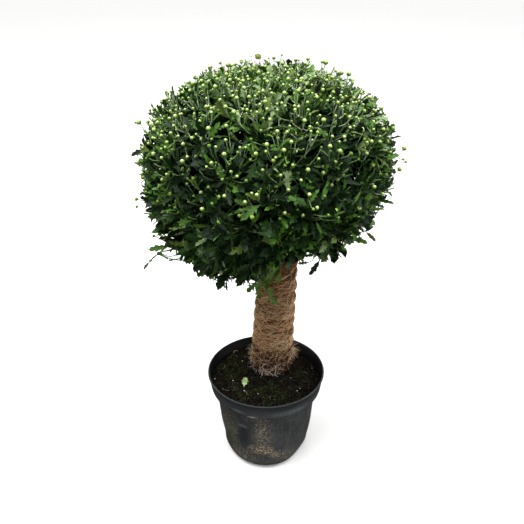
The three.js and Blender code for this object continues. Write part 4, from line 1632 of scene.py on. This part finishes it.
def make_buds(rng, fine):
    """A bud on each shoot that reaches the light, and side buds round it on thin stalks."""
    chance = np.interp(fine.heights, [-0.3, -0.1, 0.1, 0.25, 0.45], [0.0, 0.08, 0.45, 0.8, 1.0])
    chance[-len(STRAY_TIPS):] = 1.0
    bearing = fine.chosen(rng.uniform(0, 1, len(fine.heights)) < chance)
    tips = bearing.curves[3]
    heading = unit(tips - bearing.curves[2])
    sizes = rng.uniform(2.7, 4.3, len(tips)) * MM
    sizes[-len(STRAY_TIPS):] = STRAY_BUD_RADIUS
    buds, stalks = [(tips, heading, sizes)], []
    for odds in SIDE_BUD_ODDS:
        odds = odds * np.interp(bearing.heights, [0.0, 0.5], [0.5, 1.0])
        chosen = rng.uniform(0, 1, len(tips)) < odds
        side_buds, side_stalks = side_shoots(rng, bearing.chosen(chosen), heading[chosen])
        buds.append(side_buds)
        stalks.append(side_stalks)
    make_bud_stalks(np.concatenate(stalks))
    low = [MM * np.array(path) for path in NAMED_STALKS if path[0][2] < 525 and path[3][0] < -200]
    ends = np.array([path[3] for path in low])
    buds.append((ends, unit(ends - [path[2] for path in low]), np.full(len(low), LOW_BUD_RADIUS)))
    ends, leans, sizes = (np.concatenate(parts) for parts in zip(*buds))
    across = unit(np.cross(leans, rng.normal(0, 1, leans.shape)))
    scale = sizes[:, None]
    frames = (ends, across * scale, np.cross(leans, across) * scale, leans * scale)

    def strew_buds(name, template, some, finish):
        joined(name, [strewn(template, *[part[some] for part in frames])], finish)

    bracts = bud_finish("bract_green", (0.15, 0.25, 0.06))
    strew_buds("bud_cups", bud_cup(), slice(None), bracts)
    ripe = (sizes / MM - 1.6) / 2.7 + rng.normal(0, 0.22, len(sizes))
    high = (ends[:, 2] - CROWN_CENTRE.z) / CROWN_RISE
    # Buds low in the crown take the greener tints: partly less ripe, partly painted shade.
    tone = np.digitize(ripe - np.interp(high, [0.0, 0.6], [0.4, 0.0]), [0.33, 0.7])
    for i, (name, tint) in enumerate(BUD_TINTS):
        strew_buds(name, bud_head(), tone == i, bud_finish(name, tint))
    # The pale caps, more of them high in the crown, are partly petal tips and partly a painted
    # highlight on the buds' tops.
    opening = ripe + np.clip(high - 0.6, -0.6, 0.3) > 0.35
    strew_buds("bud_caps_and_highlights", bud_cap(), opening, bud_finish("petal_tips_and_highlight", (0.68, 0.77, 0.4)))


def side_shoots(rng, own, heading):
    """A side bud for each shoot: its end, lean and size, and the stalk that carries it."""
    count = len(heading)
    share = rng.uniform(0.62, 0.88, count)
    root, lean = own.at(share), own.lean(share)
    turn = rng.uniform(0, FULL_TURN, count)[:, None]
    across = unit(np.cross(lean, rng.normal(0, 1, lean.shape)))
    out = np.cos(turn) * across + np.sin(turn) * np.cross(lean, across)
    tip = own.curves[3] + out * rng.uniform(9, 24, turn.shape) * MM
    tip = tip - heading * rng.uniform(-2, 17, turn.shape) * MM
    final = unit(heading + 0.4 * out)
    span = np.linalg.norm(tip - root, axis=1, keepdims=True)
    knees = (root + 0.35 * span * unit(lean + out), tip - 0.4 * span * final)
    return (tip, final, rng.uniform(1.6, 3.3, count) * MM), bezier(root, *knees, tip, 6)


def make_bud_stalks(stalks):
    """The stalks of the side buds: green, and silvery on top of the crown."""
    top = stalks[:, -1, 2] > CROWN_CENTRE.z + PALE_ABOVE * CROWN_RISE * 1.2
    for name, tone, tint, some in (
        ("bud_stalks", "stalk_green", (0.2, 0.32, 0.11), ~top),
        ("bud_stalks_top", "stalk_silver", (0.42, 0.52, 0.32), top),
    ):
        thick = np.full(some.sum(), BUD_STALK_RADIUS)
        tube_piece(name, stalks[some], thick, 0.8, 4, stalk_finish(tone, tint))


def make_flower(rng):
    """The one open flower, on the shoot that stands highest: white petals round a green disc."""
    tip = MM * np.array(STRAY_TIPS[0], float)
    axis = unit(np.array([0.05, -0.5, 1.0]))
    side = unit(np.cross(axis, [0.0, 1.0, 0.0]))
    turn = np.linspace(0, FULL_TURN, PETALS, endpoint=False) + rng.normal(0, 0.07, PETALS)
    out = np.cos(turn)[:, None] * side + np.sin(turn)[:, None] * np.cross(axis, side)
    along = unit(out + rng.uniform(-0.1, 0.4, (PETALS, 1)) * axis)
    face = square_to(along, axis)
    size = rng.uniform(13, 17, (PETALS, 1)) * MM
    frames = (tip + 4 * MM * out, np.cross(along, face) * size, along * size, face * size)
    blades = strewn(leaf_template(PETAL, 0.2), *frames, np.full(PETALS, -0.2))
    joined("petals", [blades], leaf_finish("petal_white", (0.6, 0.54, 0.56), 0.6))
    ways = (DISC_RADIUS * way for way in (side, np.cross(axis, side), 0.7 * axis))
    disc = strewn(bud_head(), *(part[None] for part in (tip + 3 * MM * axis, *ways)))
    joined("flower_disc", [disc], bud_finish("disc_green", (0.13, 0.2, 0.02)))


# Rows of a petal, from its root to its tip, as those of a leaf.
PETAL = [
    (0.0, 0.05, 0.0),
    (0.3, 0.12, 0.0),
    (0.7, 0.16, 0.0),
    (0.92, 0.1, 0.0),
    (1.0, 0.0, 0.0),
]

# Bud colours from the smallest to the ripest: name and tint. Low in the crown buds take the greener
# ones, partly as painted shade.
BUD_TINTS = [
    ("bud_green", (0.15, 0.27, 0.04)),
    ("bud_lime", (0.27, 0.42, 0.065)),
    ("bud_cream", (0.34, 0.5, 0.1)),
]


# Stage ------------------------------------------------------------------------------------


def stage_piece(bm, name, finish):
    """A piece of the studio: it shows, but sheds no light on the plant and takes none from it."""
    piece = in_scene(name, mesh_of(bm, name))
    piece.data.materials.append(finish.material)
    piece.visible_diffuse = False
    piece.visible_glossy = False
    return piece


def make_stage():
    """A pale floor, and a pale wall far round it."""
    bm = bmesh.new()
    bmesh.ops.create_grid(bm, x_segments=1, y_segments=1, size=FLOOR_SIZE)
    finish = Finish("pale_floor", 0.9, 0.0)
    finish.shader.inputs["Base Color"].default_value = (0.93, 0.93, 0.93, 1)
    stage_piece(bm, "floor", finish)
    bm = bmesh.new()
    size = {"radius1": WALL_RADIUS, "radius2": WALL_RADIUS, "depth": WALL_HEIGHT}
    bmesh.ops.create_cone(bm, cap_ends=False, segments=96, **size)
    bmesh.ops.translate(bm, verts=bm.verts, vec=(0, 0, 0.48 * WALL_HEIGHT))
    bmesh.ops.reverse_faces(bm, faces=bm.faces)
    finish = Finish("pale_wall", 0.9, 0.0)
    finish.shader.inputs["Base Color"].default_value = (0, 0, 0, 1)
    finish.shader.inputs["Emission Color"].default_value = (1, 1, 1, 1)
    finish.shader.inputs["Emission Strength"].default_value = WALL_GLOW
    wall = stage_piece(bm, "wall", finish)
    wall.visible_shadow = False


FLOOR_SIZE = 30.0
WALL_RADIUS = 12.0
WALL_HEIGHT = 30.0
WALL_GLOW = 0.95


def make_light():
    """A sky that is brighter overhead, and soft lamps round the plant."""
    world = bpy.data.worlds.new("studio")
    world.use_nodes = True
    nodes, links = world.node_tree.nodes, world.node_tree.links
    sky = nodes["Background"]
    view = nodes.new("ShaderNodeTexCoord")
    split = nodes.new("ShaderNodeSeparateXYZ")
    fade = nodes.new("ShaderNodeMapRange")
    links.new(view.outputs["Generated"], split.inputs[0])
    links.new(split.outputs["Z"], fade.inputs["Value"])
    fade.inputs["From Min"].default_value = -0.05
    fade.inputs["From Max"].default_value = 1.0
    fade.inputs["To Min"].default_value = SKY_LOW
    fade.inputs["To Max"].default_value = SKY_HIGH
    links.new(fade.outputs[0], sky.inputs["Strength"])
    sky.inputs["Color"].default_value = (1.0, 1.0, 0.98, 1)
    bpy.context.scene.world = world
    for name, place, size, power in LAMPS:
        lamp = bpy.data.lights.new(name, "AREA")
        lamp.shape = "DISK"
        lamp.size = size
        lamp.energy = power
        holder = in_scene(name, lamp)
        holder.location = place
        aim = LAMP_TARGET - Vector(place)
        holder.rotation_euler = aim.to_track_quat("-Z", "Y").to_euler()


SKY_LOW = 0.03
SKY_HIGH = 1.45
LAMP_TARGET = Vector((0, 0, 0.55))

# Lamps: name, place, size in metres and power in watts.
LAMPS = [
    ("overhead_lamp", (-0.4, -0.4, 3.2), 1.8, 95),
    ("front_lamp", (0.3, -3.0, 0.95), 1.8, 28),
    ("left_lamp", (-2.9, 0.7, 1.5), 1.6, 28),
    ("right_lamp", (2.9, 0.5, 1.5), 1.6, 46),
    ("back_lamp", (0.3, 3.2, 1.2), 1.8, 18),
]


def make_camera():
    lens = bpy.data.cameras.new("camera")
    lens.lens = CAMERA_LENS
    lens.sensor_width = 36
    camera = in_scene("camera", lens)
    camera.location = CAMERA_PLACE
    camera.rotation_euler = (math.radians(90 - CAMERA_DIP), 0, 0)
    bpy.context.scene.camera = camera


CAMERA_LENS = 46
CAMERA_PLACE = (-0.009, -1.2, 1.154)
CAMERA_DIP = 29.15

# Assembly ---------------------------------------------------------------------------------

make_camera()
make_stage()
make_light()
bpy.context.scene.view_settings.view_transform = "Standard"

FOLIAGE_NODES = [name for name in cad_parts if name.startswith("foliage_")]
make_pot()
make_soil()
make_trunk()

masses = masses_of_foliage()
shoots = main_shoots(masses)
rng = np.random.default_rng(FINE_SEED + 2)
make_limbs(masses, shoots)
fine = fine_shoots(rng, shoots)
make_fine_twigs(fine)
make_leaves(rng, masses, shoots, fine)
make_buds(rng, fine)
make_flower(rng)
